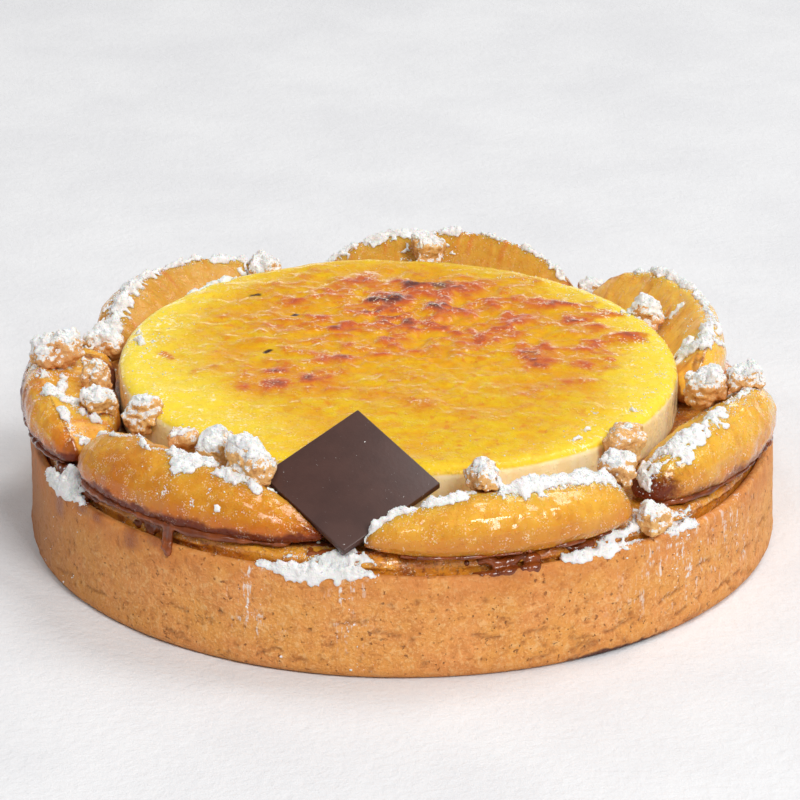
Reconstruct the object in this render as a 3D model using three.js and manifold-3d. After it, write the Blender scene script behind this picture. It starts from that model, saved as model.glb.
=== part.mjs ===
// A round apple tart: a straight-sided shortcrust shell with a baked filling, a ring of
// caramelised apple wedges round a disc of grilled custard, crumble nuggets scattered over
// the wedges, and a square chocolate plaque that leans on the custard's front edge.
//
// Millimetres, +Z up. The origin is the centre of the shell's base, and the front of the
// tart, where the plaque is, faces -Y. Bearings run anticlockwise from +X, in degrees.

import * as THREE from "three";
import { mergeVertices } from "three/addons/utils/BufferGeometryUtils.js";
import { ImprovedNoise } from "three/addons/math/ImprovedNoise.js";
import Module from "manifold-3d";

const wasm = await Module();
wasm.setup();

// Driving dimensions

const SHELL_RADIUS = 100; // a 20 cm tart ring
const SHELL_HEIGHT = 27;
const RIM_THICKNESS = 4;
const RECESS_DEPTH = 6; // from the rim down to the shell's visible inside
const SHELL_FOOT_ROUND = 2.5; // rounding of the base's edge
const WALL_TAPER = 1; // how far the wall draws in from foot to rim
const RIM_UNEVENNESS = 0.9; // how far the rim rises and falls
const WALL_UNEVENNESS = 0.5; // dents and swellings of the wall
const WALL_DENT_WIDTH = 16;

const FILLING_TOP = 31; // the filling stands a little proud of the rim
const FILLING_SHOULDER = 4.5; // width of the round shoulder at the filling's edge
const FILLING_LAP = 2.2; // how far the shoulder spreads over the rim where it spreads most
const CUSTARD_RADIUS = 74.2;
const CUSTARD_TOP = 46.2;
const CUSTARD_EDGE_ROUND = 3.2;
const CUSTARD_CROWN = 0.8; // the top's rise from its edge to its middle
const CUSTARD_UNEVENNESS = 0.5; // low waves in the top
const CUSTARD_WAVE_WIDTH = 11;
const CUSTARD_OFFSET_X = -1.1;
const CUSTARD_SLOPE_X = -0.018; // its top falls to the right
const CUSTARD_SLOPE_Y = 0.009; // and rises a little to the back

const PLAQUE_SIDE = 31;
const PLAQUE_THICKNESS = 2;
const PLAQUE_BEVEL = 0.25;
const PLAQUE_CENTRE = [-12.6, -78, 44]; // middle of its upper face
const PLAQUE_LEAN = 28.5; // degrees from level, towards the front
const PLAQUE_TURN = -3.8; // degrees about the upright
const PLAQUE_ROLL = 1.3; // degrees, its right corner lower

const GAP = 0.3; // clearance between pieces that touch
const WEDGE_BASE = FILLING_TOP + GAP;
const WEDGE_INNER = CUSTARD_RADIUS + 2; // the wedges' inner edges stop short of the custard
const WEDGE_CORNER = 1.6; // rounding of a wedge's cut edges
const WEDGE_BULGE = 2.6; // how far the round back swells past the lower edge
const WEDGE_TIP_INSET = 7; // from the lower outer edge in to where a wedge's ends close
const WEDGE_TIP_HEIGHT = 2;
const WEDGE_UNEVENNESS = 0.7;

const CIRCLE_STEPS = 80;
const WEDGE_STATIONS = 18;
const WEDGE_SECTION_POINTS = 16;
const CRUMB_DETAIL = 2;
const CRUMB_SQUARENESS = 0.72; // below 1 turns a ball towards a brick
const CRUMB_UNEVENNESS = 0.3;

// The apple wedges. From and to are the bearings of a wedge's ends. Outer is the radius of its
// lower outer edge at the middle, curl is how far both ends bend in from that, and lean swings
// the "to" end out. The ridge between the round back and the cut face lies ridgeInset inside
// the outer edge and rise above the base, and the cut face runs down to innerRise at the
// custard. A blunt value of 4 is a square end and 1.5 a pointed one.
const WEDGES = [
  { name: "apple_front_left", from: -152, to: -102, outer: 98, curl: 0, lean: 0,
    ridgeInset: 11, rise: 15.5, innerRise: 6, bluntFrom: 5, bluntTo: 1.5 },
  { name: "apple_front", from: -96, to: -52, outer: 99.5, curl: 0, lean: -2,
    ridgeInset: 9, rise: 15, innerRise: 6, bluntFrom: 1.8, bluntTo: 4 },
  { name: "apple_right", from: -48, to: -6, outer: 98.5, curl: 0, lean: 5,
    ridgeInset: 7, rise: 16, innerRise: 6, bluntFrom: 2.4, bluntTo: 4 },
  { name: "apple_back_right", from: -3, to: 53, outer: 93, curl: 3, lean: 14,
    ridgeInset: 5, rise: 19, innerRise: 8, bluntFrom: 3.5, bluntTo: 2.4 },
  { name: "apple_back", from: 55, to: 107, outer: 99, curl: 5, lean: 0,
    ridgeInset: 9, rise: 18, innerRise: 7, bluntFrom: 2, bluntTo: 2.2 },
  { name: "apple_back_left", from: 114, to: 159, outer: 100, curl: 6, lean: 0,
    ridgeInset: 8, rise: 16, innerRise: 6, bluntFrom: 3, bluntTo: 3 },
  { name: "apple_left", from: 163, to: 207, outer: 100.5, curl: 0, lean: -2,
    ridgeInset: 5, rise: 15, innerRise: 10, bluntFrom: 3, bluntTo: 3 },
];

// The crumble nuggets: a bearing and radius, half sizes along its length, width and height,
// a turn about the upright, a tip from level, and how deep it settles into what is under it.
const CRUMBS = [
  { bearing: -177, radius: 91, half: [7, 5.5, 5], turn: 20, tip: 10, settle: 1.5 },
  { bearing: -168, radius: 81.5, half: [3.4, 3.4, 6], turn: 60, tip: 12, settle: 3 },
  { bearing: 168, radius: 83, half: [5.6, 4.2, 4.2], turn: -15, tip: 0, settle: 2.6 },
  { bearing: -161, radius: 83, half: [5.5, 4.5, 4.5], turn: 35, tip: 0, settle: 4 },
  { bearing: -150, radius: 76.5, half: [5.6, 4, 4.8], turn: -40, tip: 20, settle: 5.5 },
  { bearing: -136, radius: 77, half: [4.5, 3, 2.8], turn: -50, tip: 0, settle: 3 },
  { bearing: -126.5, radius: 78, half: [5.2, 4.4, 4.8], turn: 30, tip: 0, settle: 3 },
  { bearing: -117, radius: 82.5, half: [8.5, 4.6, 4.4], turn: 68, tip: 20, settle: 3 },
  { bearing: -77, radius: 86, half: [7, 4, 3.6], turn: 10, tip: 0, settle: 2.2 },
  { bearing: -53, radius: 88, half: [5, 4.6, 4.6], turn: 25, tip: 10, settle: 2 },
  { bearing: -44, radius: 77.5, half: [5.5, 5, 6], turn: 50, tip: 15, settle: 4 },
  { bearing: -14, radius: 81.5, half: [6.4, 5.6, 5.4], turn: 0, tip: 0, settle: 2 },
  { bearing: -13, radius: 92, half: [5.6, 4.4, 3.6], turn: 30, tip: 0, settle: 2 },
  { bearing: 27, radius: 75.5, half: [5.4, 4.4, 4.4], turn: -40, tip: 25, settle: 2.5 },
  { bearing: 85, radius: 81, half: [6, 5, 4.6], turn: 15, tip: 0, settle: 2.5 },
  { bearing: 118, radius: 83, half: [6.5, 4.6, 4], turn: -30, tip: 0, settle: 3 },
  { bearing: -50.5, radius: 97.5, half: [4, 3.4, 3.6], turn: 10, tip: 0, settle: 1.5 },
  { bearing: 55, radius: 95, half: [5, 4.2, 4.2], turn: 35, tip: 15, settle: 1 },
  { bearing: 110, radius: 94.5, half: [4.4, 3.6, 3.4], turn: 40, tip: 0, settle: 1 },
];

// Finishes, each made into a material for every piece that has it

const SHORTCRUST = { color: 0xc98d52, roughness: 0.75, metalness: 0 };
const BAKED_FILLING = { color: 0xb5702a, roughness: 0.4, metalness: 0 };
const GRILLED_CUSTARD = { color: 0xf0c63c, roughness: 0.35, metalness: 0 };
const CARAMELISED_APPLE = { color: 0xd8922b, roughness: 0.3, metalness: 0 };
const CRUMBLE = { color: 0xcf9a5e, roughness: 0.85, metalness: 0 };
const CHOCOLATE = { color: 0x4c3833, roughness: 0.45, metalness: 0 };

// Helpers

const noise = new ImprovedNoise();
const radians = THREE.MathUtils.degToRad;

// Moves every vertex of a geometry by a function of its place.
function reshape(geometry, move) {
  const places = geometry.getAttribute("position");
  const place = new THREE.Vector3();
  for (let i = 0; i < places.count; i++) {
    move(place.fromBufferAttribute(places, i));
    places.setXYZ(i, place.x, place.y, place.z);
  }
  return geometry;
}

// The same geometry with only shared positions left.
function welded(geometry) {
  const bare = geometry.clone();
  for (const name of Object.keys(bare.attributes)) {
    if (name !== "position") bare.deleteAttribute(name);
  }
  return mergeVertices(bare, 1e-3);
}

// A closed geometry as a solid that can be cut.
function solidOf(geometry) {
  const shared = welded(geometry);
  const corners = shared.index.array;
  const kept = [];
  for (let i = 0; i < corners.length; i += 3) {
    const [a, b, c] = corners.slice(i, i + 3);
    if (a !== b && b !== c && a !== c) kept.push(a, b, c);
  }
  const vertProperties = new Float32Array(shared.getAttribute("position").array);
  const triVerts = new Uint32Array(kept);
  return new wasm.Manifold(new wasm.Mesh({ numProp: 3, vertProperties, triVerts }));
}

// A solid's triangles as a geometry.
function geometryOf(solid) {
  const { vertProperties, triVerts } = solid.getMesh();
  const geometry = new THREE.BufferGeometry();
  geometry.setAttribute("position", new THREE.BufferAttribute(new Float32Array(vertProperties), 3));
  geometry.setIndex(new THREE.BufferAttribute(new Uint32Array(triVerts), 1));
  return geometry;
}

// The geometry swollen by a clearance, each vertex along its own normal.
function swollen(geometry, clearance) {
  const shared = welded(geometry);
  shared.computeVertexNormals();
  const places = shared.getAttribute("position");
  const normals = shared.getAttribute("normal");
  for (let i = 0; i < places.count; i++) {
    const x = places.getX(i) + clearance * normals.getX(i);
    const y = places.getY(i) + clearance * normals.getY(i);
    const z = places.getZ(i) + clearance * normals.getZ(i);
    places.setXYZ(i, x, y, z);
  }
  return shared;
}

// What is left of a geometry clear of its neighbours: the largest piece.
function cutClear(geometry, neighbours) {
  let solid = solidOf(geometry);
  for (const neighbour of neighbours) {
    solid = solid.subtract(solidOf(swollen(neighbour, GAP)));
  }
  const pieces = solid.decompose().sort((a, b) => b.volume() - a.volume());
  return geometryOf(pieces[0]);
}

// Lowers a geometry until its first vertex meets what lies under it, then by a further depth.
function settleOn(geometry, supports, depth) {
  const down = new THREE.Vector3(0, 0, -1);
  const ray = new THREE.Raycaster();
  const targets = supports.map((support) => new THREE.Mesh(support));
  const places = geometry.getAttribute("position");
  let drop = Infinity;
  for (let i = 0; i < places.count; i++) {
    ray.set(new THREE.Vector3().fromBufferAttribute(places, i), down);
    const hit = ray.intersectObjects(targets)[0];
    if (hit) drop = Math.min(drop, hit.distance);
  }
  return geometry.translate(0, 0, -drop - depth);
}

// A closed profile of radius and height turned about the upright.
function turned(profile) {
  return new THREE.LatheGeometry(profile, CIRCLE_STEPS).rotateX(Math.PI / 2);
}

// A slow wave round the tart, between about -1 and 1.
function waveAt(x, y, waves, seed) {
  const bearing = Math.atan2(y, x);
  const ring = waves / 2;
  return 1.6 * noise.noise(ring * Math.cos(bearing), ring * Math.sin(bearing), seed);
}

// The shortcrust shell: solid up to its visible inside, with a thin uneven rim.
function shell() {
  const inside = SHELL_RADIUS - RIM_THICKNESS;
  const floor = SHELL_HEIGHT - RECESS_DEPTH;
  const rimRound = RIM_THICKNESS / 2;
  const rimOuter = SHELL_RADIUS - WALL_TAPER;
  const profile = new THREE.Path();
  profile.moveTo(0, 0);
  profile.lineTo(SHELL_RADIUS - SHELL_FOOT_ROUND, 0);
  profile.quadraticCurveTo(SHELL_RADIUS, 0, SHELL_RADIUS, SHELL_FOOT_ROUND);
  for (const share of [0.3, 0.55, 0.8]) {
    profile.lineTo(SHELL_RADIUS - WALL_TAPER * share, SHELL_HEIGHT * share);
  }
  profile.lineTo(rimOuter, SHELL_HEIGHT - rimRound);
  profile.quadraticCurveTo(rimOuter, SHELL_HEIGHT, SHELL_RADIUS - rimRound, SHELL_HEIGHT);
  profile.quadraticCurveTo(inside, SHELL_HEIGHT, inside, SHELL_HEIGHT - rimRound);
  profile.lineTo(inside, floor);
  profile.lineTo(0, floor);
  return reshape(turned(profile.getPoints(2)), (p) => {
    const radius = Math.hypot(p.x, p.y);
    const up = THREE.MathUtils.smoothstep(p.z, floor, SHELL_HEIGHT);
    const lift = up * RIM_UNEVENNESS * waveAt(p.x, p.y, 5, 3.1);
    if (radius > inside + rimRound / 2) {
      const foot = THREE.MathUtils.smoothstep(p.z, 0, SHELL_FOOT_ROUND);
      const dent = p.clone().divideScalar(WALL_DENT_WIDTH);
      const push = foot * WALL_UNEVENNESS * noise.noise(dent.x, dent.y, dent.z);
      p.x += (push * p.x) / radius;
      p.y += (push * p.y) / radius;
    }
    p.z += lift;
  });
}

// The baked filling: it fills the shell's recess and shows as a soft shoulder above the rim,
// which it laps over in places.
function filling() {
  const edge = SHELL_RADIUS - RIM_THICKNESS - GAP - 0.2;
  const floor = SHELL_HEIGHT - RECESS_DEPTH + GAP;
  const lapHeight = SHELL_HEIGHT + 1.4;
  const profile = new THREE.Path();
  profile.moveTo(0, floor);
  profile.lineTo(edge, floor);
  profile.lineTo(edge, SHELL_HEIGHT);
  profile.lineTo(edge, lapHeight);
  profile.quadraticCurveTo(edge, FILLING_TOP, edge - FILLING_SHOULDER, FILLING_TOP);
  profile.lineTo(0, FILLING_TOP);
  return reshape(turned(profile.getPoints(4)), (p) => {
    const radius = Math.hypot(p.x, p.y);
    if (p.z < lapHeight || radius < 1) return;
    const spread = (FILLING_LAP * (1 + waveAt(p.x, p.y, 12, 1.7))) / 2;
    const push = spread * THREE.MathUtils.smoothstep(radius, edge - FILLING_SHOULDER - 1, edge);
    p.x += (push * p.x) / radius;
    p.y += (push * p.y) / radius;
  });
}

// The custard disc: level below, its crowned top falling a little to the right.
function custard() {
  const bottom = FILLING_TOP + GAP;
  const edge = CUSTARD_TOP - CUSTARD_CROWN;
  const profile = new THREE.Path();
  profile.moveTo(0, bottom);
  profile.lineTo(CUSTARD_RADIUS - 0.8, bottom);
  profile.lineTo(CUSTARD_RADIUS, bottom + 1);
  profile.lineTo(CUSTARD_RADIUS, edge - CUSTARD_EDGE_ROUND);
  profile.quadraticCurveTo(CUSTARD_RADIUS, edge, CUSTARD_RADIUS - CUSTARD_EDGE_ROUND * 1.4, edge);
  for (const share of [0.75, 0.5, 0.25]) {
    profile.lineTo(CUSTARD_RADIUS * share, CUSTARD_TOP - CUSTARD_CROWN * share * share);
  }
  profile.lineTo(0, CUSTARD_TOP);
  return reshape(turned(profile.getPoints(4)), (p) => {
    const up = (p.z - bottom) / (CUSTARD_TOP - bottom);
    const wave = p.clone().divideScalar(CUSTARD_WAVE_WIDTH);
    const lift = CUSTARD_UNEVENNESS * noise.noise(wave.x, wave.y, 0.5);
    p.z += up * (lift + CUSTARD_SLOPE_X * p.x + CUSTARD_SLOPE_Y * p.y);
    p.x += CUSTARD_OFFSET_X;
  });
}

// The chocolate plaque: a thin square plate set on one corner, leaning back on the custard.
function plaque() {
  const half = PLAQUE_SIDE / 2 - PLAQUE_BEVEL;
  const outline = new THREE.Shape();
  outline.moveTo(-half, -half);
  outline.lineTo(half, -half);
  outline.lineTo(half, half);
  outline.lineTo(-half, half);
  const plate = new THREE.ExtrudeGeometry(outline, {
    depth: PLAQUE_THICKNESS - 2 * PLAQUE_BEVEL,
    bevelThickness: PLAQUE_BEVEL,
    bevelSize: PLAQUE_BEVEL,
    bevelSegments: 2,
  });
  plate.translate(0, 0, PLAQUE_BEVEL - PLAQUE_THICKNESS);
  plate.rotateZ(radians(45));
  plate.rotateX(radians(PLAQUE_LEAN));
  plate.rotateY(radians(PLAQUE_ROLL));
  plate.rotateZ(radians(PLAQUE_TURN));
  return plate.translate(...PLAQUE_CENTRE);
}

// A wedge's cross-section as radius and height: flat below, round outside, cut face above.
function wedgeSection({ outer, ridgeInset, rise, innerRise }) {
  const ridge = outer - ridgeInset;
  const c = WEDGE_CORNER;
  const section = new THREE.Path();
  section.moveTo(WEDGE_INNER + c, 0);
  section.lineTo(outer - c, 0);
  section.quadraticCurveTo(outer, 0, outer + 0.3, c);
  section.quadraticCurveTo(outer + WEDGE_BULGE, rise * 0.72, ridge + c, rise - 0.4 * c);
  section.quadraticCurveTo(ridge, rise + 0.2, ridge - c, rise - 0.6 * c);
  section.lineTo(WEDGE_INNER + c, innerRise + 0.3 * c);
  section.quadraticCurveTo(WEDGE_INNER, innerRise, WEDGE_INNER, innerRise - c);
  section.lineTo(WEDGE_INNER, c);
  section.quadraticCurveTo(WEDGE_INNER, 0, WEDGE_INNER + c, 0);
  return section;
}

// An apple wedge, laid round the rim: a sphere whose parallels are stations along the wedge
// and whose meridians follow the cross-section.
function wedge(spec) {
  const section = wedgeSection(spec);
  const middle = (spec.from + spec.to) / 2;
  const halfTurn = (spec.to - spec.from) / 2;
  const tip = new THREE.Vector2(spec.outer - WEDGE_TIP_INSET, WEDGE_TIP_HEIGHT);
  const ball = new THREE.SphereGeometry(1, WEDGE_SECTION_POINTS, WEDGE_STATIONS);
  return reshape(ball, (p) => {
    const along = THREE.MathUtils.clamp(p.y, -1, 1);
    const round = THREE.MathUtils.euclideanModulo(Math.atan2(p.z, p.x) / (2 * Math.PI), 1);
    const blunt = along < 0 ? spec.bluntFrom : spec.bluntTo;
    const fullness = Math.sqrt(Math.max(0, 1 - Math.abs(along) ** blunt));
    const place = section.getPointAt(round).sub(tip).multiplyScalar(fullness).add(tip);
    const lumps = WEDGE_UNEVENNESS * fullness * noise.noise(along * 3 + spec.to, place.x / 8, place.y / 8);
    const bearing = radians(middle + along * halfTurn);
    const bend = (spec.lean * along) / 2 - spec.curl * along * along;
    const radius = place.x + bend + (place.y > 1 ? lumps : 0);
    p.set(radius * Math.cos(bearing), radius * Math.sin(bearing), WEDGE_BASE + place.y);
  });
}

// A crumble nugget: a lumpy brick, dropped on what lies under it.
function crumb({ bearing, radius, half, turn, tip, settle }, supports, seed) {
  const nugget = new THREE.IcosahedronGeometry(1, CRUMB_DETAIL);
  reshape(nugget, (p) => {
    const lump = 1 + CRUMB_UNEVENNESS * noise.noise(p.x * 1.7 + seed, p.y * 1.7, p.z * 1.7);
    for (const axis of ["x", "y", "z"]) {
      p[axis] = Math.sign(p[axis]) * Math.abs(p[axis]) ** CRUMB_SQUARENESS * lump;
    }
    p.multiply(new THREE.Vector3(...half)).multiplyScalar(0.9);
  });
  nugget.rotateY(radians(tip));
  nugget.rotateZ(radians(bearing + turn));
  const above = CUSTARD_TOP + 30;
  nugget.translate(radius * Math.cos(radians(bearing)), radius * Math.sin(radians(bearing)), above);
  settleOn(nugget, supports, settle);
  return cutClear(nugget, supports);
}

// Assembly

const tart = new THREE.Group();
const placed = [];

function place(name, geometry, finish) {
  const mesh = new THREE.Mesh(geometry, new THREE.MeshStandardMaterial(finish));
  mesh.name = name;
  tart.add(mesh);
  placed.push(geometry);
}

place("shell", shell(), SHORTCRUST);
place("filling", filling(), BAKED_FILLING);
const plate = plaque();
place("custard", cutClear(custard(), [plate]), GRILLED_CUSTARD);
place("plaque", plate, CHOCOLATE);
for (const spec of WEDGES) {
  place(spec.name, cutClear(wedge(spec), placed), CARAMELISED_APPLE);
}
CRUMBS.forEach((spec, i) => {
  const name = `crumb_${String(i + 1).padStart(2, "0")}`;
  place(name, crumb(spec, placed, i * 3.7), CRUMBLE);
});

export default tart;
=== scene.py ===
# %% [markdown]
# # An apple tart, dressed in Blender
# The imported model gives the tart's solids: a shortcrust shell, a baked filling, a disc of
# grilled custard, seven apple wedges, crumble nuggets and a chocolate plaque. This lesson
# replaces each solid by a finely meshed piece of the same form, gives every piece a
# procedural finish, and adds the two toppings that are too thin for a solid: caramel and
# icing sugar. Everything is in metres, +Z is up, and the plaque at the front faces -Y. Sizes
# are written in millimetres and scaled by MM, and bearings in degrees from +X.

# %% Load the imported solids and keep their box
import bisect
import itertools
import math

import bmesh
import bpy
import numpy as np
from mathutils import Matrix, Vector
from mathutils.bvhtree import BVHTree


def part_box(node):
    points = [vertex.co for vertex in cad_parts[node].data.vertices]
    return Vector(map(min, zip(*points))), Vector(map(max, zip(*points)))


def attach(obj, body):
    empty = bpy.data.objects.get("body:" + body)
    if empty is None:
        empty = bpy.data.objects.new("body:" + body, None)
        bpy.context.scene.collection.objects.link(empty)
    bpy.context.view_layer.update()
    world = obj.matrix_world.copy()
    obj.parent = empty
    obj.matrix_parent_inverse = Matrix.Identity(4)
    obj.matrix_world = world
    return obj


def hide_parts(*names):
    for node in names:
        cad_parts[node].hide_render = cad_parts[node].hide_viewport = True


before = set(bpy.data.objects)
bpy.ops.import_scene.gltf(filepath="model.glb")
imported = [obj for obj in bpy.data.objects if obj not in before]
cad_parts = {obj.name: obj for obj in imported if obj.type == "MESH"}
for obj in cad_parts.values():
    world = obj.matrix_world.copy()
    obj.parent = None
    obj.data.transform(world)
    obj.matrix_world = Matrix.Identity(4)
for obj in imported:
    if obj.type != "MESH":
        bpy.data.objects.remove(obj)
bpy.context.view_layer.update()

MM = 0.001
scene = bpy.context.scene

# %% [markdown]
# ## Camera
# The tart was seen from a little above its front with a long lens, which keeps the ellipse of
# the custard flat. The lens and the distance together set the perspective, so both are given
# instead of moving a default camera until the picture looks right.

# %% Camera
VIEW_ANGLE = math.radians(22.55)
VIEW_DISTANCE = 0.9
LENS_LENGTH, SENSOR_WIDTH = 151.5, 36
view_centre = Vector((-0.6, 0, 32.5)) * MM

lens = bpy.data.cameras.new("long_lens")
lens.sensor_width = SENSOR_WIDTH
lens.lens = LENS_LENGTH
lens.clip_start = 0.01
camera = bpy.data.objects.new("camera", lens)
camera.location = view_centre + VIEW_DISTANCE * Vector((0, -math.cos(VIEW_ANGLE), math.sin(VIEW_ANGLE)))
camera.rotation_euler = (math.pi / 2 - VIEW_ANGLE, 0, 0)
scene.collection.objects.link(camera)
scene.camera = camera
print("camera at", [round(c, 3) for c in camera.location])

# %% [markdown]
# ## Light
# The tart stands in a bright, even studio. A large soft lamp hangs high behind its right side,
# so the short shadow falls to the front left. A second one above the camera fills the front
# and gives the wet apples their small window-shaped reflections, a weak one fills the left, a
# small one far to the left makes the syrup there glint, and a long low panel behind is
# mirrored in the crests of the wet custard. The plain view transform keeps whites white,
# where the filmic ones would turn the floor grey.

# %% Lamps and surroundings
def softbox(name, place, size, power):
    lamp = bpy.data.lights.new(name, "AREA")
    lamp.shape = "RECTANGLE"
    lamp.size, lamp.size_y = size
    lamp.energy = power
    holder = bpy.data.objects.new(name, lamp)
    holder.location = place
    holder.rotation_euler = (view_centre - Vector(place)).to_track_quat("-Z", "Y").to_euler()
    scene.collection.objects.link(holder)
    print("lamp", name, "power", power)


scene.view_settings.view_transform = "Standard"
softbox("key_lamp", (1.4, 0.9, 2.9), (1.4, 1.4), 44)
softbox("front_lamp", (1.2, -2.0, 2.1), (1.0, 1.1), 58)
softbox("left_fill", (-0.6, -1.6, 2.2), (0.6, 0.6), 12)
softbox("left_window", (-2.2, -0.5, 1.9), (0.2, 0.2), 2.4)
softbox("back_panel", (0, 2.6, 0.32), (5.0, 0.6), 14)

surroundings = bpy.data.worlds.new("bright_studio")
surroundings.use_nodes = True
surroundings.node_tree.nodes["Background"].inputs["Color"].default_value = (1, 1, 1, 1)
surroundings.node_tree.nodes["Background"].inputs["Strength"].default_value = 0.28
scene.world = surroundings

# %% [markdown]
# ## Tools for finishes
# A finish is a tree of nodes. Small helpers keep the code readable: `feed` links a socket or
# sets its constant, and the others each add one kind of node. Sizes are given in millimetres
# of the real surface, and colours as the 0 to 255 values that a picture shows.

# %% Node helpers
def paint(red, green, blue):
    parts = [c / 255 for c in (red, green, blue)]
    return [c / 12.92 if c < 0.04045 else ((c + 0.055) / 1.055) ** 2.4 for c in parts] + [1.0]


def feed(tree, socket, value):
    if isinstance(value, bpy.types.NodeSocket):
        tree.links.new(value, socket)
    else:
        socket.default_value = value


def put(tree, kind, settings=None, inputs=None):
    made = tree.nodes.new(kind)
    for name, value in (settings or {}).items():
        setattr(made, name, value)
    for name, value in (inputs or {}).items():
        feed(tree, made.inputs[name], value)
    return made


def object_place(tree):
    return put(tree, "ShaderNodeTexCoord").outputs["Object"]


def stretched(tree, place, scale):
    return put(tree, "ShaderNodeMapping", inputs={"Vector": place, "Scale": scale}).outputs[0]


def grain(tree, place, size, detail=2.0, rough=0.5, bend=0.0):
    inputs = {"Vector": place, "Scale": 1 / (size * MM)}
    inputs.update({"Detail": detail, "Roughness": rough, "Distortion": bend})
    return put(tree, "ShaderNodeTexNoise", inputs=inputs).outputs[0]


def field(tree, name):
    return put(tree, "ShaderNodeAttribute", {"attribute_name": name}).outputs["Fac"]


print("node helpers ready")

# %% [markdown]
# Real food is never one colour: each tone lies over the last one in its own patches. `band`
# turns a noise or a field into a mask with soft edges, and `wash` lays a tone over a colour
# where all of its masks agree. A stack of such washes reads in the order in which the food
# was baked, soaked and browned, which one large colour ramp wouldn't.

# %% Masks, washes and relief
def maths(tree, operation, first, second=0.0, clamp=False):
    made = put(tree, "ShaderNodeMath", {"operation": operation, "use_clamp": clamp})
    feed(tree, made.inputs[0], first)
    feed(tree, made.inputs[1], second)
    return made.outputs[0]


def times(tree, first, *others):
    for other in others:
        first = maths(tree, "MULTIPLY", first, other)
    return first


def band(tree, value, low, high, start=0.0, end=1.0):
    inputs = {"Value": value, "From Min": low, "From Max": high, "To Min": start, "To Max": end}
    return put(tree, "ShaderNodeMapRange", {"interpolation_type": "SMOOTHSTEP"}, inputs).outputs[0]


def tint(tree, share, under, over):
    made = put(tree, "ShaderNodeMix", {"data_type": "RGBA"})
    feed(tree, made.inputs[0], share)
    feed(tree, made.inputs[6], under)
    feed(tree, made.inputs[7], over)
    return made.outputs[2]


def wash(tree, colour, tone, *masks):
    return tint(tree, times(tree, *masks), colour, tone)


def ramp(tree, value, stops):
    made = put(tree, "ShaderNodeValToRGB", inputs={"Fac": value})
    marks = made.color_ramp.elements
    while len(marks) < len(stops):
        marks.new(0.5)
    for mark, (at, colour) in zip(marks, stops):
        mark.position = at
        mark.color = colour
    return made.outputs["Color"]


def relief(tree, height, depth):
    inputs = {"Height": height, "Distance": depth * MM}
    return put(tree, "ShaderNodeBump", inputs=inputs).outputs["Normal"]


def new_finish(name, constants):
    finish = bpy.data.materials.new(name)
    finish.use_nodes = True
    shader = finish.node_tree.nodes["Principled BSDF"]
    for socket, value in constants.items():
        shader.inputs[socket].default_value = value
    return finish, finish.node_tree, shader


print("colour helpers ready")

# %% [markdown]
# ## Shared effects
# Icing sugar settles on nearly every piece, and the crust and the crumble are baked from the
# same dough. Each such effect is a node group with named inputs and outputs, so that it is
# built once and placed in each finish with values of its own.

# %% Group frame
WHITE = (1, 1, 1, 1)


def new_group(name, inputs, outputs):
    tree = bpy.data.node_groups.new(name, "ShaderNodeTree")
    for direction, sockets in (("INPUT", inputs), ("OUTPUT", outputs)):
        for label, kind, start in sockets:
            made = tree.interface.new_socket(label, in_out=direction, socket_type="NodeSocket" + kind)
            if start is not None:
                made.default_value = start
    return tree, tree.nodes.new("NodeGroupInput").outputs, tree.nodes.new("NodeGroupOutput").inputs


def use_group(tree, group, inputs):
    return put(tree, "ShaderNodeGroup", {"node_tree": group}, inputs).outputs


print("groups are built next")

# %% [markdown]
# Fallen sugar is an even white with a ragged edge: where little has fallen only the
# tops of a fine noise turn white, and where more has fallen the specks join into patches.
# `sift_over` ends a finish with it, because the sugar always came last.

# %% Icing dust
ICING_WHITE = paint(240, 237, 233)
POWDER_ROUGHNESS = 0.9
dust_group, given, result = new_group(
    "icing dust",
    [("Colour", "Color", WHITE), ("Roughness", "Float", 0.5), ("Amount", "Float", 0.0)],
    [("Colour", "Color", None), ("Roughness", "Float", None)],
)
tree = dust_group
place = object_place(tree)
specks = grain(tree, place, 0.6, 3, 0.7)
clumps = grain(tree, place, 2.4, 3, 0.6)
powder = maths(tree, "ADD", times(tree, specks, 0.55), times(tree, clumps, 0.45))
edge = maths(tree, "SUBTRACT", 0.82, times(tree, given["Amount"], 0.55))
above_edge = band(tree, maths(tree, "SUBTRACT", powder, edge), -0.02, 0.05)
cover = times(tree, above_edge, band(tree, given["Amount"], 0.0, 0.12))
feed(tree, result["Colour"], wash(tree, given["Colour"], ICING_WHITE, cover))
rougher = times(tree, cover, maths(tree, "SUBTRACT", POWDER_ROUGHNESS, given["Roughness"]))
feed(tree, result["Roughness"], maths(tree, "ADD", given["Roughness"], rougher))


def sift_over(tree, shader, colour, roughness, amount):
    dusted = use_group(tree, dust_group, {"Colour": colour, "Roughness": roughness, "Amount": amount})
    feed(tree, shader.inputs["Base Color"], dusted["Colour"])
    feed(tree, shader.inputs["Roughness"], dusted["Roughness"])


print("made", dust_group.name)
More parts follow.
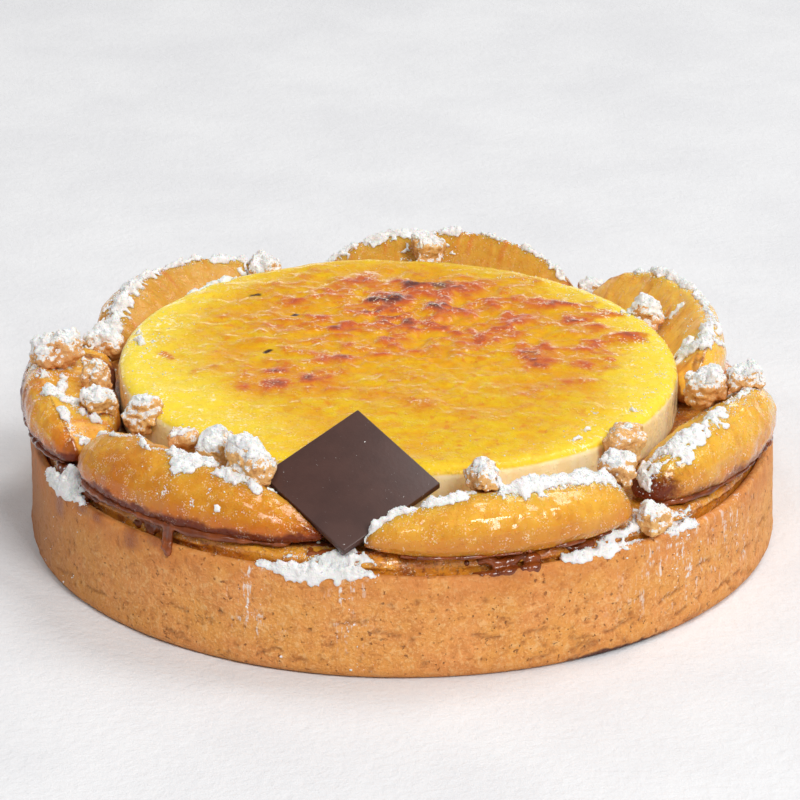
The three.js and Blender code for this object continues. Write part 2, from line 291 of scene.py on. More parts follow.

# %% [markdown]
# Baked dough browns unevenly: broad patches of golden and rosy tone, smaller browned blots and pale grains
# of flour. The hollows between its crumbs are darkened as painted shade.

# %% Baked dough
dough_group, given, result = new_group(
    "baked dough",
    [(label, "Color", WHITE) for label in ("Golden", "Rosy", "Browned", "Pale", "Hollow shade")],
    [("Colour", "Color", None), ("Height", "Float", None)],
)
tree = dough_group
place = object_place(tree)
broad = grain(tree, place, 13, 3, 0.55)
blots = grain(tree, place, 3.6, 4, 0.6, 0.3)
crumbs = grain(tree, place, 1.9, 4, 0.6)
sandy = grain(tree, place, 0.7, 3, 0.6)
height = maths(tree, "ADD", times(tree, crumbs, 0.6), times(tree, sandy, 0.4))
colour = tint(tree, band(tree, broad, 0.36, 0.66), given["Golden"], given["Rosy"])
for pattern, start, full, strength, tone in (
    (blots, 0.46, 0.66, 0.55, "Browned"),
    (crumbs, 0.54, 0.68, 0.55, "Pale"),
    (sandy, 0.52, 0.66, 0.5, "Pale"),
    # Painted shade: the low spots of the relief are darkened in colour.
    (height, 0.45, 0.35, 0.65, "Hollow shade"),
):
    colour = wash(tree, colour, given[tone], band(tree, pattern, start, full), strength)
feed(tree, result["Colour"], colour)
feed(tree, result["Height"], height)
print("made", dough_group.name)

# %% [markdown]
# Sugar syrup dries into a wrinkled skin with fine droplets. The group gives the height of that skin and a
# mask of white specks, partly sugar crystals and partly painted glints, for apples, custard, filling and
# caramel.

# %% Syrup skin
CRYSTAL_AND_GLINT_WHITE = paint(255, 243, 214)
skin_group, given, result = new_group(
    "syrup skin", [("Size", "Float", 1.0)], [("Height", "Float", None), ("Crystals and glints", "Float", None)]
)
tree = skin_group
scaling = {"Vector": object_place(tree), "Scale": maths(tree, "DIVIDE", 1.0, given["Size"])}
finer = put(tree, "ShaderNodeVectorMath", {"operation": "SCALE"}, scaling).outputs[0]
droplets = band(tree, grain(tree, finer, 0.8, 1, 0.5), 0.56, 0.74)
wrinkles = grain(tree, finer, 3.2, 2, 0.5, 0.6)
height = maths(tree, "ADD", times(tree, droplets, 0.35), times(tree, wrinkles, 0.65))
feed(tree, result["Height"], height)
gathered = band(tree, grain(tree, finer, 3.0, 3, 0.65), 0.47, 0.62)
crystals_and_glints = times(tree, band(tree, grain(tree, finer, 0.5, 1, 0.5), 0.56, 0.63), gathered)
feed(tree, result["Crystals and glints"], crystals_and_glints)
print("made", skin_group.name)

# %% [markdown]
# ## Floor
# The tart stands on a plain pale table. It is a single grid, left outside the tart's body, with a faint
# cloudy unevenness in its white.

# %% Floor
finish, tree, shader = new_finish("pale_table", {"Roughness": 0.75, "Specular IOR Level": 0.2})
place = object_place(tree)
cloudy = band(tree, grain(tree, place, 60, 5, 0.65), 0.3, 0.7)
feed(tree, shader.inputs["Base Color"], tint(tree, cloudy, (0.75, 0.75, 0.765, 1), (0.81, 0.81, 0.82, 1)))
feed(tree, shader.inputs["Normal"], relief(tree, grain(tree, place, 3, 4, 0.7), 0.5))

bm = bmesh.new()
bmesh.ops.create_grid(bm, x_segments=8, y_segments=8, size=3)
mesh = bpy.data.meshes.new("table")
bm.to_mesh(mesh)
bm.free()
mesh.materials.append(finish)
table = bpy.data.objects.new("table", mesh)
scene.collection.objects.link(table)
print("floor laid")

# %% [markdown]
# ## Tools for meshes
# Baked and cut food has no exact shape, so each piece starts from a simple form and every
# vertex is then moved a little along its normal by smooth random ripples. The ripples are
# drawn from one seeded table, so each run gives the same tart.

# %% Ripples
LATTICE_SIZE = 48
LATTICE = np.random.default_rng(5).uniform(-1, 1, (LATTICE_SIZE,) * 3)
LATTICE_START = 11.3
SEED_STRIDE = np.array((7.1, 3.7, 5.3))


def ripples(places, size, seed):
    steps = np.asarray(places) / (size * MM) + LATTICE_START + seed * SEED_STRIDE
    low = np.floor(steps).astype(int)
    part = steps - low
    part = part**3 * (part * (part * 6 - 15) + 10)
    total = np.zeros(len(steps))
    for corner in itertools.product((0, 1), repeat=3):
        weight = np.where(corner, part, 1 - part).prod(axis=1)
        total += weight * LATTICE[tuple(((low + corner) % LATTICE_SIZE).T)]
    return total


def ripple_mix(places, *layers):
    return sum(height * ripples(places, size, seed) for height, size, seed in layers)


def smoothed(values, low, high):
    share = np.clip((values - low) / (high - low), 0, 1)
    return share * share * (3 - 2 * share)


print("ripples drawn from", LATTICE.size, "values")

# %% [markdown]
# A mesh hands over its vertices as one long array, which numpy moves far faster than a loop
# over vertices would. A field is a number kept on each vertex, such as how far it is toasted,
# which the finish reads later.

# %% Mesh helpers
def places_of(mesh):
    flat = np.empty(len(mesh.vertices) * 3, np.float32)
    mesh.vertices.foreach_get("co", flat)
    return flat.reshape(-1, 3).astype(float)


def outward_of(mesh):
    flat = np.empty(len(mesh.vertices) * 3, np.float32)
    mesh.vertex_normals.foreach_get("vector", flat)
    return flat.reshape(-1, 3).astype(float)


def move_to(mesh, places):
    mesh.vertices.foreach_set("co", places.astype(np.float32).ravel())
    mesh.update()


def push_out(mesh, amounts):
    move_to(mesh, places_of(mesh) + outward_of(mesh) * (np.asarray(amounts) * MM)[:, None])


def keep_field(mesh, name, values):
    layer = mesh.attributes.new(name, "FLOAT", "POINT")
    layer.data.foreach_set("value", np.asarray(values, np.float32))


def polar_of(places):
    return np.degrees(np.arctan2(places[:, 1], places[:, 0])), np.hypot(places[:, 0], places[:, 1]) / MM


def near_bearing(at, middle, half):
    return np.exp(-(((at - middle + 180) % 360 - 180) / half) ** 2)


print("mesh helpers ready")

# %% [markdown]
# The shell, the filling and the custard are round, so each is a profile spun about the upright.
# One sector is spun and then copied round, which is much quicker than one long spin, and the
# seams are welded. A Screw modifier would do it too, but it would have to be applied before the
# vertices could be moved one by one.

# %% Spun forms
WELD = 1e-6


def as_mesh(bm):
    mesh = bpy.data.meshes.new("draft")
    bm.to_mesh(mesh)
    bm.free()
    return mesh


def bend(start, corner, end, count):
    shares = np.linspace(0, 1, count + 1)[:, None]
    start, corner, end = map(np.array, (start, corner, end))
    curve = (1 - shares) ** 2 * start + 2 * shares * (1 - shares) * corner + shares**2 * end
    return [tuple(point) for point in curve]


def turned(profile, steps, sectors=10):
    bm = bmesh.new()
    line = [bm.verts.new((radius * MM, 0, height * MM)) for radius, height in profile]
    edges = [bm.edges.new(pair) for pair in zip(line, line[1:])]
    middle, upright, wide = (0, 0, 0), (0, 0, 1), math.tau / sectors
    bmesh.ops.spin(bm, geom=line + edges, cent=middle, axis=upright, angle=wide, steps=steps // sectors)
    sector = bm.verts[:] + bm.edges[:] + bm.faces[:]
    for count in range(1, sectors):
        copied = bmesh.ops.duplicate(bm, geom=sector)["geom"]
        corners = [part for part in copied if isinstance(part, bmesh.types.BMVert)]
        turn = Matrix.Rotation(math.tau * count / sectors, 3, "Z")
        bmesh.ops.rotate(bm, cent=middle, matrix=turn, verts=corners)
    bmesh.ops.remove_doubles(bm, verts=bm.verts[:], dist=WELD)
    bmesh.ops.recalc_face_normals(bm, faces=bm.faces[:])
    return as_mesh(bm)


print("spinning is ready")

# %% [markdown]
# The wedges and nuggets are cut or broken, so they start from a merged copy of their solids instead. A voxel
# remesh covers it in small even faces, and a little smoothing takes away its steps. `by_bearing` reads from
# a solid how a rim rises and falls round the tart, and `add_piece` gives every finished mesh its object and
# its body, and hides the solids that it stands for.

# %% Copies of solids, and finished pieces
def merged_copy(*nodes):
    bm = bmesh.new()
    for node in nodes:
        bm.from_mesh(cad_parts[node].data)
    bmesh.ops.remove_doubles(bm, verts=bm.verts[:], dist=WELD)
    return bm


def finely_meshed(mesh, voxel, rounds):
    draft = bpy.data.objects.new("draft", mesh)
    scene.collection.objects.link(draft)
    cover = draft.modifiers.new("even cover", "REMESH")
    cover.mode = "VOXEL"
    cover.voxel_size = voxel * MM
    soften = draft.modifiers.new("soften", "SMOOTH")
    soften.factor = 0.5
    soften.iterations = rounds
    made = bpy.data.meshes.new_from_object(draft.evaluated_get(bpy.context.evaluated_depsgraph_get()))
    bpy.data.objects.remove(draft)
    bpy.data.meshes.remove(mesh)
    return made


def by_bearing(node, choose, measure, slots=80):
    places = places_of(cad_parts[node].data)
    bearing, radius = polar_of(places)
    height = places[:, 2] / MM
    chosen = choose(radius, height)
    wide = 360 / slots
    slot = np.round(bearing / wide).astype(int) % slots
    highest = [measure(radius, height)[chosen & (slot == k)].max() for k in range(slots)]
    return lambda at: np.interp(at % 360, np.arange(slots + 1) * wide, highest + highest[:1])


def add_piece(name, mesh, finish, slot, *nodes):
    mesh.name = name
    mesh.materials.clear()
    mesh.materials.append(finish)
    mesh.shade_smooth()
    piece = bpy.data.objects.new(name, mesh)
    scene.collection.objects.link(piece)
    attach(piece, "root")
    if nodes:
        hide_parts(*nodes)
    mesh.calc_loop_triangles()
    print(name, "triangles:", len(mesh.loop_triangles))


print("piece helpers ready")

# %% [markdown]
# ## Shortcrust shell
# The shell was pressed into a plain ring, so its wall is nearly straight, with a soft foot, a
# thin uneven rim, and small pits and short level cracks where the dough dried. A profile spun
# about the upright gives the form with even rows of faces. The rim's rise and fall is read
# from the solid, and the pits and cracks are pressed into the wall as geometry.

# %% Shell form
SHELL_STEPS = 1100
SHELL_RADIUS, SHELL_HEIGHT, RECESS_FLOOR = 100, 27, 21
HIDDEN_RING = 60
FOOT_ROUND = 2.5
RIM_OUTER, RIM_CREST, RIM_INNER, RIM_START = 99, 97.8, 96, 25

wall = [(SHELL_RADIUS - height / SHELL_HEIGHT, height) for height in np.arange(3.0, RIM_START, 0.55)]
profile = [(0, 0), (HIDDEN_RING, 0), (90, 0)]
profile += bend((SHELL_RADIUS - FOOT_ROUND, 0), (SHELL_RADIUS, 0), (SHELL_RADIUS, FOOT_ROUND), 6) + wall
profile += bend((RIM_OUTER, RIM_START), (RIM_OUTER, SHELL_HEIGHT), (RIM_CREST, SHELL_HEIGHT), 6)
profile += bend((RIM_CREST, SHELL_HEIGHT), (RIM_INNER, SHELL_HEIGHT), (RIM_INNER, RIM_START), 5)[1:]
profile += [(radius, RECESS_FLOOR) for radius in (RIM_INNER, HIDDEN_RING, 0)]
shell_mesh = turned(profile, SHELL_STEPS)

rim_lift = by_bearing("shell", lambda r, z: r > 95, lambda r, z: z - SHELL_HEIGHT)
places = places_of(shell_mesh)
bearing, radius = polar_of(places)
places[:, 2] += smoothed(places[:, 2] / MM, RECESS_FLOOR, SHELL_HEIGHT) * rim_lift(bearing) * MM
move_to(shell_mesh, places)
print("rim lift in mm:", round(float(rim_lift(bearing).min()), 2), round(float(rim_lift(bearing).max()), 2))

# %% [markdown]
# A pit is a small dent, and a crack is a row of pits that wanders along the wall. Both are
# drawn at random, denser low on the wall, and measured as millimetres along and up it.

# %% Pits and cracks
HALF_ROUND = 314
PIT_COUNT, CRACK_COUNT = 320, 60
PIT_DEPTH = 0.5
chance = np.random.default_rng(11)
pits = []
for _ in range(PIT_COUNT):
    along, up = chance.uniform(-HALF_ROUND, HALF_ROUND), 25 * chance.uniform(0, 1) ** 1.3
    pits.append((along, up, 0.35 + 0.5 * chance.uniform() ** 3))
for _ in range(CRACK_COUNT):
    along, up = chance.uniform(-HALF_ROUND, HALF_ROUND), 1.5 + 14 * chance.uniform() ** 1.6
    for _ in range(chance.integers(5, 20)):
        pits.append((along, up, chance.uniform(0.32, 0.5)))
        along += chance.uniform(0.35, 0.6)
        up += chance.normal(-0.03, 0.28)

places = places_of(shell_mesh)
bearing, radius = polar_of(places)
along_wall, up_wall = np.radians(bearing) * SHELL_RADIUS, places[:, 2] / MM
on_wall = radius > SHELL_RADIUS - FOOT_ROUND
pitted = np.zeros(len(places))
for along, up, size in pits:
    reach = 2.5 * size
    near = np.nonzero(on_wall & (np.abs(along_wall - along) < reach) & (np.abs(up_wall - up) < reach))[0]
    gap = np.hypot(along_wall[near] - along, up_wall[near] - up) / size
    pitted[near] = np.maximum(pitted[near], np.exp(-gap * gap))
foot = smoothed(up_wall, 0.2, 2)
swell = ripple_mix(places, (0.45, 22, 1), (0.2, 8, 2), (0.1, 2.6, 3), (0.06, 1.2, 4))
push_out(shell_mesh, on_wall * foot * (swell - PIT_DEPTH * pitted))
keep_field(shell_mesh, "pitted", pitted)
print("pits and crack points:", len(pits))

# %% [markdown]
# The oven scorched a stretch of the foot at the front right, syrup ran over the rim in places, and sugar
# that fell past the rim left pale upright streaks. The left side is darkened as painted shade. Each mark is
# given by its bearing and its half width in degrees, and a run of syrup also by the height at which it ends.

# %% Marks on the shell
SYRUP_RUNS = [
    (-152, 1.6, 20), (-145, 2.0, 25), (-141, 1.3, 24.5), (-133, 1.5, 22.8), (-128, 2.5, 25.5),
    (-76, 3.0, 25.8), (170, 2.0, 21), (98, 2.0, 22),
]
SUGAR_STREAKS = [(-112, 3), (-98, 2.5), (-46, 9), (-30, 5), (40, 9), (120, 12)]
STAINED = (-165, -140, -124, -70, -22)

scorch = near_bearing(bearing, -58, 11) * smoothed(up_wall, 3.2, 0.4)
scorch += 0.5 * near_bearing(bearing, -150, 16) * smoothed(up_wall, 2.2, 0.3)
ragged = up_wall + 0.8 * ripples(places, 3, 6)
syrup = sum(near_bearing(bearing, b, w) * smoothed(ragged, end - 1, end + 1.5) for b, w, end in SYRUP_RUNS)
stain = smoothed(up_wall, 17, 25.5) * (0.6 + 0.4 * sum(near_bearing(bearing, b, 7) for b in STAINED))
streak = sum(near_bearing(bearing, b, w) * smoothed(up_wall, 4, 12) for b, w in SUGAR_STREAKS)
# Painted shade: the left side of the wall is darkened in colour.
shaded = near_bearing(bearing, -172, 25)
marks = {"scorch": scorch, "stain": stain, "syrup": syrup, "streak": streak, "shaded": shaded}
for name, values in marks.items():
    keep_field(shell_mesh, name, np.clip(values, 0, 1) * on_wall)
print("marks kept on", len(shell_mesh.vertices), "vertices")

# %% [markdown]
# The crust's finish is the baked dough with its marks washed over it in turn: pits darkened as painted
# shade, the left side darkened as painted shade, a darker foot, the stain near the top of the wall, the
# scorch and the syrup, fine cracks darkened as painted shade, and sugar last. Marks that have a place come
# from the fields, and those that are everywhere from noise.

# %% Shell finish
finish, tree, shader = new_finish("shortcrust", {
    "Specular IOR Level": 0.35, "Subsurface Weight": 0.1, "Subsurface Scale": 0.002,
    "Subsurface Radius": (1.0, 0.6, 0.3),
})
place = object_place(tree)
height_up = put(tree, "ShaderNodeSeparateXYZ", inputs={"Vector": place}).outputs["Z"]
dough = use_group(tree, dough_group, {
    "Golden": paint(227, 156, 76), "Rosy": paint(229, 153, 84), "Browned": paint(200, 124, 58),
    "Pale": paint(242, 192, 128), "Hollow shade": paint(174, 104, 50),
})
holes = band(tree, grain(tree, place, 1.3, 2, 0.5, 0.3), 0.67, 0.73)
cloudy = band(tree, grain(tree, place, 5, 3), 0.3, 0.56)
burnt = band(tree, maths(tree, "ADD", field(tree, "scorch"), grain(tree, place, 3, 3)), 0.85, 1.25)
# Painted shade: the pits, from noise and from the field, are darkened in colour as well as sunk.
colour = wash(tree, dough["Colour"], paint(126, 70, 38), holes, 0.7)
colour = wash(tree, colour, paint(130, 72, 38), field(tree, "pitted"), 0.6)
# Painted shade on the left side.
colour = wash(tree, colour, paint(162, 102, 58), field(tree, "shaded"), 0.9)
colour = wash(tree, colour, paint(184, 112, 56), band(tree, height_up, 0.006, 0.0), 0.4)
colour = wash(tree, colour, paint(206, 122, 54), field(tree, "stain"), cloudy, 0.7)
colour = wash(tree, colour, paint(92, 52, 38), burnt)
colour = wash(tree, colour, paint(146, 78, 44), field(tree, "syrup"), 0.75)
wander = maths(tree, "SUBTRACT", grain(tree, stretched(tree, place, (1, 1, 2.8)), 9, 3, 0.6, 0.2), 0.5)
lines = band(tree, maths(tree, "ABSOLUTE", wander), 0.01, 0.002)
dry = band(tree, grain(tree, place, 6, 2, 0.5), 0.6, 0.66)
cracked = times(tree, lines, dry, band(tree, height_up, 0.018, 0.008))
# Painted shade: the fine cracks are darkened in colour.
colour = wash(tree, colour, paint(128, 72, 38), cracked, 0.65)
upright = grain(tree, stretched(tree, place, (1, 1, 0.16)), 1.5, 3, 0.65)
broken = band(tree, grain(tree, place, 1.4, 2), 0.42, 0.6)
streaks = times(tree, band(tree, upright, 0.53, 0.63), field(tree, "streak"), broken)
colour = wash(tree, colour, ICING_WHITE, streaks, 0.85)
roughness = band(tree, field(tree, "syrup"), 0, 1, 0.62, 0.3)
sift_over(tree, shader, colour, roughness, times(tree, field(tree, "streak"), 0.38))
sunken = maths(tree, "ADD", times(tree, cracked, 0.5), times(tree, holes, 0.5))
feed(tree, shader.inputs["Normal"], relief(tree, maths(tree, "SUBTRACT", dough["Height"], sunken), 0.9))
add_piece("baked_shell", shell_mesh, finish, "shortcrust", "shell")

# %% [markdown]
# ## Filling
# Between the rim and the wedges shows a strip of soft apple filling, wet with syrup. It is a
# low shoulder that laps over the rim in places. The spin gives many rings where it shows and few
# under the custard, and ripples stretched along the rim lay it in flat slices.

# %% Filling form
FILLING_STEPS = 600
FILLING_RADIUS, FILLING_FOOT, FILLING_TOP = 95.5, 21.3, 31
profile = [(0, FILLING_FOOT), (HIDDEN_RING, FILLING_FOOT)]
profile += [(FILLING_RADIUS, height) for height in (FILLING_FOOT, 24, 26.5, 27.6)]
profile += bend((FILLING_RADIUS, 28.4), (FILLING_RADIUS, FILLING_TOP), (91, FILLING_TOP), 12)
profile += [(radius, FILLING_TOP) for radius in (*np.arange(90.4, 84, -0.7), 80, HIDDEN_RING, 0)]
filling_mesh = turned(profile, FILLING_STEPS)

lap = by_bearing("filling", lambda r, z: z > 28.3, lambda r, z: r - FILLING_RADIUS)
places = places_of(filling_mesh)
bearing, radius = polar_of(places)
height = places[:, 2] / MM
spread = lap(bearing) * smoothed(radius, 90, 95.4) * smoothed(height, 27.5, 28.4)
places[:, :2] *= (1 + spread / np.maximum(radius, 1))[:, None]
move_to(filling_mesh, places)
slices = np.column_stack((np.radians(bearing) * 30 * MM, radius * MM, height * 3 * MM))
shown = smoothed(radius, 86, 90) * smoothed(height, 27.2, 28.4)
uneven = 0.25 * ripples(slices, 4, 1) + 0.6 * ripples(places, 4.5, 2) + 0.25 * ripples(places, 1.8, 3)
push_out(filling_mesh, shown * (uneven - 0.3))
print("filling laps the rim by up to", round(float(lap(bearing).max()), 2), "mm")

# %% [markdown]
# Cooked apple in syrup is golden where it is thick and brown where the syrup has soaked in, and light passes
# a little way through it. Subsurface scattering gives that glow, a clear coat the wet shine, and the shared
# syrup skin its wrinkles and its white specks of crystals and painted glints.

# %% Filling finish
finish, tree, shader = new_finish("syrupy_filling", {
    "Specular IOR Level": 0.5, "Coat Weight": 0.4, "Coat Roughness": 0.08,
    "Subsurface Weight": 0.3, "Subsurface Scale": 0.003, "Subsurface Radius": (1.0, 0.5, 0.15),
})
place = object_place(tree)
patches = grain(tree, place, 9, 4, 0.6)
threads = grain(tree, place, 3, 4, 0.65, 0.5)
skin = use_group(tree, skin_group, {"Size": 0.9})
colour = tint(tree, band(tree, patches, 0.38, 0.66), paint(230, 156, 48), paint(194, 112, 38))
colour = wash(tree, colour, paint(140, 72, 34), band(tree, threads, 0.5, 0.64), 0.7)
# Painted glints: white specks washed into the colour, partly sugar crystals.
colour = wash(tree, colour, CRYSTAL_AND_GLINT_WHITE, skin["Crystals and glints"], 0.6)
sift_over(tree, shader, colour, band(tree, threads, 0.3, 0.7, 0.2, 0.45), field(tree, "dust"))
feed(tree, shader.inputs["Normal"], relief(tree, skin["Height"], 0.7))
add_piece("baked_filling", filling_mesh, finish, "filling", "filling")

# %% [markdown]
# ## Chocolate plaque
# A thin square plate of dark chocolate leans on the custard's front edge, one corner down. It
# is left bare. A cube is scaled to the plate, its edges are rounded with a bevel, and the
# whole is turned into place in the mesh, so that the object itself stays at the origin.

# %% Plaque form
PLAQUE_SIDE, PLAQUE_THICKNESS, PLAQUE_EDGE = 31, 2, 0.35
plaque_place = Matrix.Translation(Vector((-12.6, -78, 44)) * MM)
for degrees, axis in ((-3.8, "Z"), (1.3, "Y"), (28.5, "X"), (45, "Z")):
    plaque_place = plaque_place @ Matrix.Rotation(math.radians(degrees), 4, axis)

bm = bmesh.new()
bmesh.ops.create_cube(bm, size=MM)
bmesh.ops.scale(bm, vec=(PLAQUE_SIDE, PLAQUE_SIDE, PLAQUE_THICKNESS), verts=bm.verts[:])
bmesh.ops.translate(bm, vec=(0, 0, -PLAQUE_THICKNESS / 2 * MM), verts=bm.verts[:])
bmesh.ops.bevel(
    bm, geom=bm.edges[:], offset=PLAQUE_EDGE * MM, offset_type="OFFSET", affect="EDGES",
    segments=3, profile=0.5, material=-1,
)
bmesh.ops.transform(bm, matrix=plaque_place, verts=bm.verts[:])
plaque_mesh = as_mesh(bm)
print("plaque vertices:", len(plaque_mesh.vertices))

# %% [markdown]
# Dark chocolate is satin, not glossy, with a faint cloudy bloom where it warmed and cooled, and a
# few specks of sugar. Two near browns mixed by a broad noise are enough: more contrast would
# look like wood.

# %% Chocolate finish
finish, tree, shader = new_finish("dark_chocolate", {"Specular IOR Level": 0.5})
place = object_place(tree)
bloom = band(tree, grain(tree, place, 9, 3, 0.6), 0.3, 0.7)
sift_over(tree, shader, tint(tree, bloom, paint(65, 39, 33), paint(75, 47, 40)), 0.42, 0.26)
feed(tree, shader.inputs["Normal"], relief(tree, grain(tree, place, 0.9, 3, 0.6), 0.03))
add_piece("chocolate_plate", plaque_mesh, finish, "chocolate", "plaque")

# %% [markdown]
# ## Grilled custard
# The custard is a low disc with a pale cream side and a rounded edge. Its top was grilled:
# yellow at the edge, toasted orange to dark brown in feathery patches near the middle, where
# the skin rose in small glossy blisters. The disc is spun with close rings, and how far each
# vertex is toasted is kept as a field, from a short list of patches broken up by ripples.

# %% Custard form
CUSTARD_STEPS = 490
CUSTARD_RADIUS, CUSTARD_FOOT, CUSTARD_HEIGHT = 74.2, 31.3, 14.9
CUSTARD_TOP = CUSTARD_FOOT + CUSTARD_HEIGHT
CUSTARD_SHIFT = 1.1
SLOPE_RIGHT, SLOPE_BACK = -0.018, 0.009

crown = [(CUSTARD_RADIUS * s, CUSTARD_TOP - 0.8 * s * s) for s in np.linspace(0.938, 0, 112)]
profile = [(0, CUSTARD_FOOT), (HIDDEN_RING, CUSTARD_FOOT), (73.4, CUSTARD_FOOT), (CUSTARD_RADIUS, 32.3)]
profile += [(CUSTARD_RADIUS, height) for height in np.arange(33.2, 42, 0.9)]
profile += bend((CUSTARD_RADIUS, 42.2), (CUSTARD_RADIUS, 45.4), (69.75, 45.48), 9)[:-1] + crown
custard_mesh = turned(profile, CUSTARD_STEPS)
places = places_of(custard_mesh)
top_share = (places[:, 2] / MM - CUSTARD_FOOT) / CUSTARD_HEIGHT
lean = SLOPE_RIGHT * places[:, 0] + SLOPE_BACK * places[:, 1]
waves = ripple_mix(places * (1, 1, 0), (0.35, 13, 3), (0.16, 5, 5))
places[:, 2] += top_share * (lean + waves * MM)
places[:, 0] -= CUSTARD_SHIFT * MM
move_to(custard_mesh, places)
print("custard top in mm:", round(places[:, 2].max() / MM, 1))

# %% [markdown]
# Each toasted patch is a place in millimetres, a half width and half depth, and how strongly
# it took the heat, from about 0.3, which ends up a pale orange, to 1, which ends up a dark
# brown. A blister is a place, a radius and a height.

# %% Toasted patches
TOASTED = [
    (-6, 39, 6, 6, 0.95), (-18, 43, 5, 5, 0.5), (-14, 35, 6, 4, 0.62), (-8, 29, 6, 3.5, 0.8),
    (-23, 24, 6, 4.5, 0.45), (-18, 15, 7, 3.5, 0.62), (-11, 52, 6, 4, 0.6), (-1, 48, 5, 5, 0.8),
    (-31, 34, 8, 5, 0.45), (-32, 18, 6, 4, 0.42), (-9, 2, 7, 6, 0.8), (-3, 20, 7, 6, 0.55),
    (-25, 6, 6, 3.5, 0.42), (-18, -4, 7, 4.5, 0.72), (-34, -19, 8, 8, 1.0), (-38, -25, 6, 5, 0.75),
    (-23, -19, 7, 7, 0.95), (-61, -4, 3, 3, 0.5), (-50, -15, 7, 3, 0.3), (-48, -3, 5, 3, 0.34),
    (-8, 61, 6, 5, 0.4), (-6, -31, 7, 5, 0.32), (2, 49, 5, 6, 0.85), (12, 49, 8, 8, 0.95),
    (18, 52, 5, 5, 0.65), (17, 41, 4, 4, 0.6), (10, 32, 7, 4.5, 0.75), (3, 20, 6, 5, 0.62),
    (-2, 40, 5, 4, 0.8), (3, 2, 5, 5, 0.74), (-1, 11, 7, 4, 0.62), (21, 8, 4, 3, 0.45),
    (32, 27, 6, 4.5, 0.6), (44, 37, 6, 4, 0.9), (47, 26, 5, 4.5, 0.8), (57, 32, 5, 3.5, 0.9),
    (54, 20, 4.5, 3.5, 1.05), (59, 15, 6, 4.5, 0.9), (37, 1, 7, 7, 1.05), (34, -6, 4.5, 5, 1.0),
    (49, 5, 9, 4.5, 1.0), (50, -6, 6, 4.5, 0.85), (44, -18, 7, 6, 0.75), (32, -27, 7, 5, 0.33),
    (21, -39, 7, 5, 0.3), (2, -32, 7, 6, 0.35), (15, -8, 4, 3, 0.36), (24, 40, 8, 6, 0.5),
    (26, 18, 7, 6, 0.45), (14, 16, 7, 6, 0.48),
]
BLISTERS = [
    (-6, 39, 5, 1.3), (12, 49, 6.5, 1.5), (10, 32, 5, 1.1), (-1, 48, 4, 1.0), (54, 20, 3.6, 1.0),
    (59, 15, 4.6, 1.2), (44, 37, 4.5, 0.9), (57, 32, 4, 0.9), (37, 1, 5, 0.8), (49, 4, 5, 0.8),
    (-18, 43, 4, 0.8), (2, 50, 4, 1.0), (-14, 35, 4, 0.7),
]
BLACK_SPECKS = [(-36, 0), (-29, 25), (-41, 42)]
SPECK_WIDTH, SPECK_DEPTH = 1.4, 1.1

flat = places_of(custard_mesh) * (1, 1, 0)
sideways = ripple_mix(flat, (2.4, 6, 1), (1.3, 2.2, 2))
backwards = ripple_mix(flat, (2.4, 6, 3), (1.3, 2.2, 4))
across, deep = (flat[:, :2] / MM + np.column_stack((sideways, backwards))).T
patches = np.zeros(len(flat))
for x, y, wide, long, heat in TOASTED:
    patches = np.maximum(patches, heat * np.exp(-((across - x) / wide) ** 2 - ((deep - y) / long) ** 2))
speck = np.zeros(len(flat))
for x, y in BLACK_SPECKS:
    speck = np.maximum(speck, np.exp(-((across - x) / SPECK_WIDTH) ** 2 - ((deep - y) / SPECK_DEPTH) ** 2))
print("patches:", len(TOASTED), "hottest", round(float(patches.max()), 2))

# %% [markdown]
# The skin dried into low hills while it was grilled, most of all near the middle and the back.
# The heat caught their tops, so one set of ripples gives both the relief and the browning.

# %% Hills, and how far they are toasted
grid = flat * (0.9, 1, 0)
hills = ripple_mix(grid, (0.45, 6.0, 11), (0.4, 3.0, 12), (0.22, 1.6, 13))
crests = 0.5 - np.sqrt(ripples(grid, 4.4, 14) ** 2 + 0.02)
warmth = np.exp(-((flat[:, 0] / MM - 4) / 48) ** 2 - ((flat[:, 1] / MM - 24) / 36) ** 2)
toast = patches * (0.55 + 0.4 * hills) + warmth * (0.24 + 0.48 * hills)
toast = toast + 0.07 * ripples(flat, 9, 8) + 0.1 * hills
places = places_of(custard_mesh)
bearing, radius = polar_of(places + (CUSTARD_SHIFT * MM, 0, 0))
crown_height = CUSTARD_TOP + SLOPE_RIGHT * (flat[:, 0] / MM) + SLOPE_BACK * flat[:, 1] / MM
on_top = smoothed(places[:, 2] / MM - crown_height, -3.4, -1.6)
inside = smoothed(radius, 73.8, 69)
toast = np.clip(toast, 0, 1.1) * on_top * smoothed(radius, 73.5, 67)

lift = np.zeros(len(flat))
for x, y, size, height in BLISTERS:
    squared = (across - x) ** 2 + (deep - y) ** 2
    lift = np.maximum(lift, height * np.exp(-(squared / size**2)))
    toast = np.maximum(toast, (0.3 + 0.45 * height) * np.exp(-(squared / (0.7 * size) ** 2)))
rolling = hills * (0.3 + 1.3 * warmth) + crests * (0.1 + 0.5 * warmth)
raised = 0.8 * lift + rolling + 0.07 * ripples(flat, 1.1, 10)
push_out(custard_mesh, on_top * (0.25 + 0.75 * inside) * raised)
print("toast up to", round(float(toast.max()), 2), "and blisters up to", round(float(lift.max()), 2), "mm")

# %% [markdown]
# The side set against a ring and shows faint upright streaks. The plaque sank a little into the soft front
# edge, so what would stand through the plate is lowered to just under it. The fields for the finish are kept
# last: a pale margin, painted lighter at the left, right and front left as painted light, hollows for
# painted shade, toast, specks and the skin.

# %% The custard's side, and its place under the plaque
PLAQUE_GAP, PLAQUE_MARGIN = 0.25, 0.6
side = np.column_stack((np.radians(bearing) * 74 * MM, np.zeros(len(flat)), places[:, 2] * 0.2))
push_out(custard_mesh, (1 - on_top) * smoothed(radius, 72, 73.5) * (0.12 * ripples(side, 2.2, 1)))

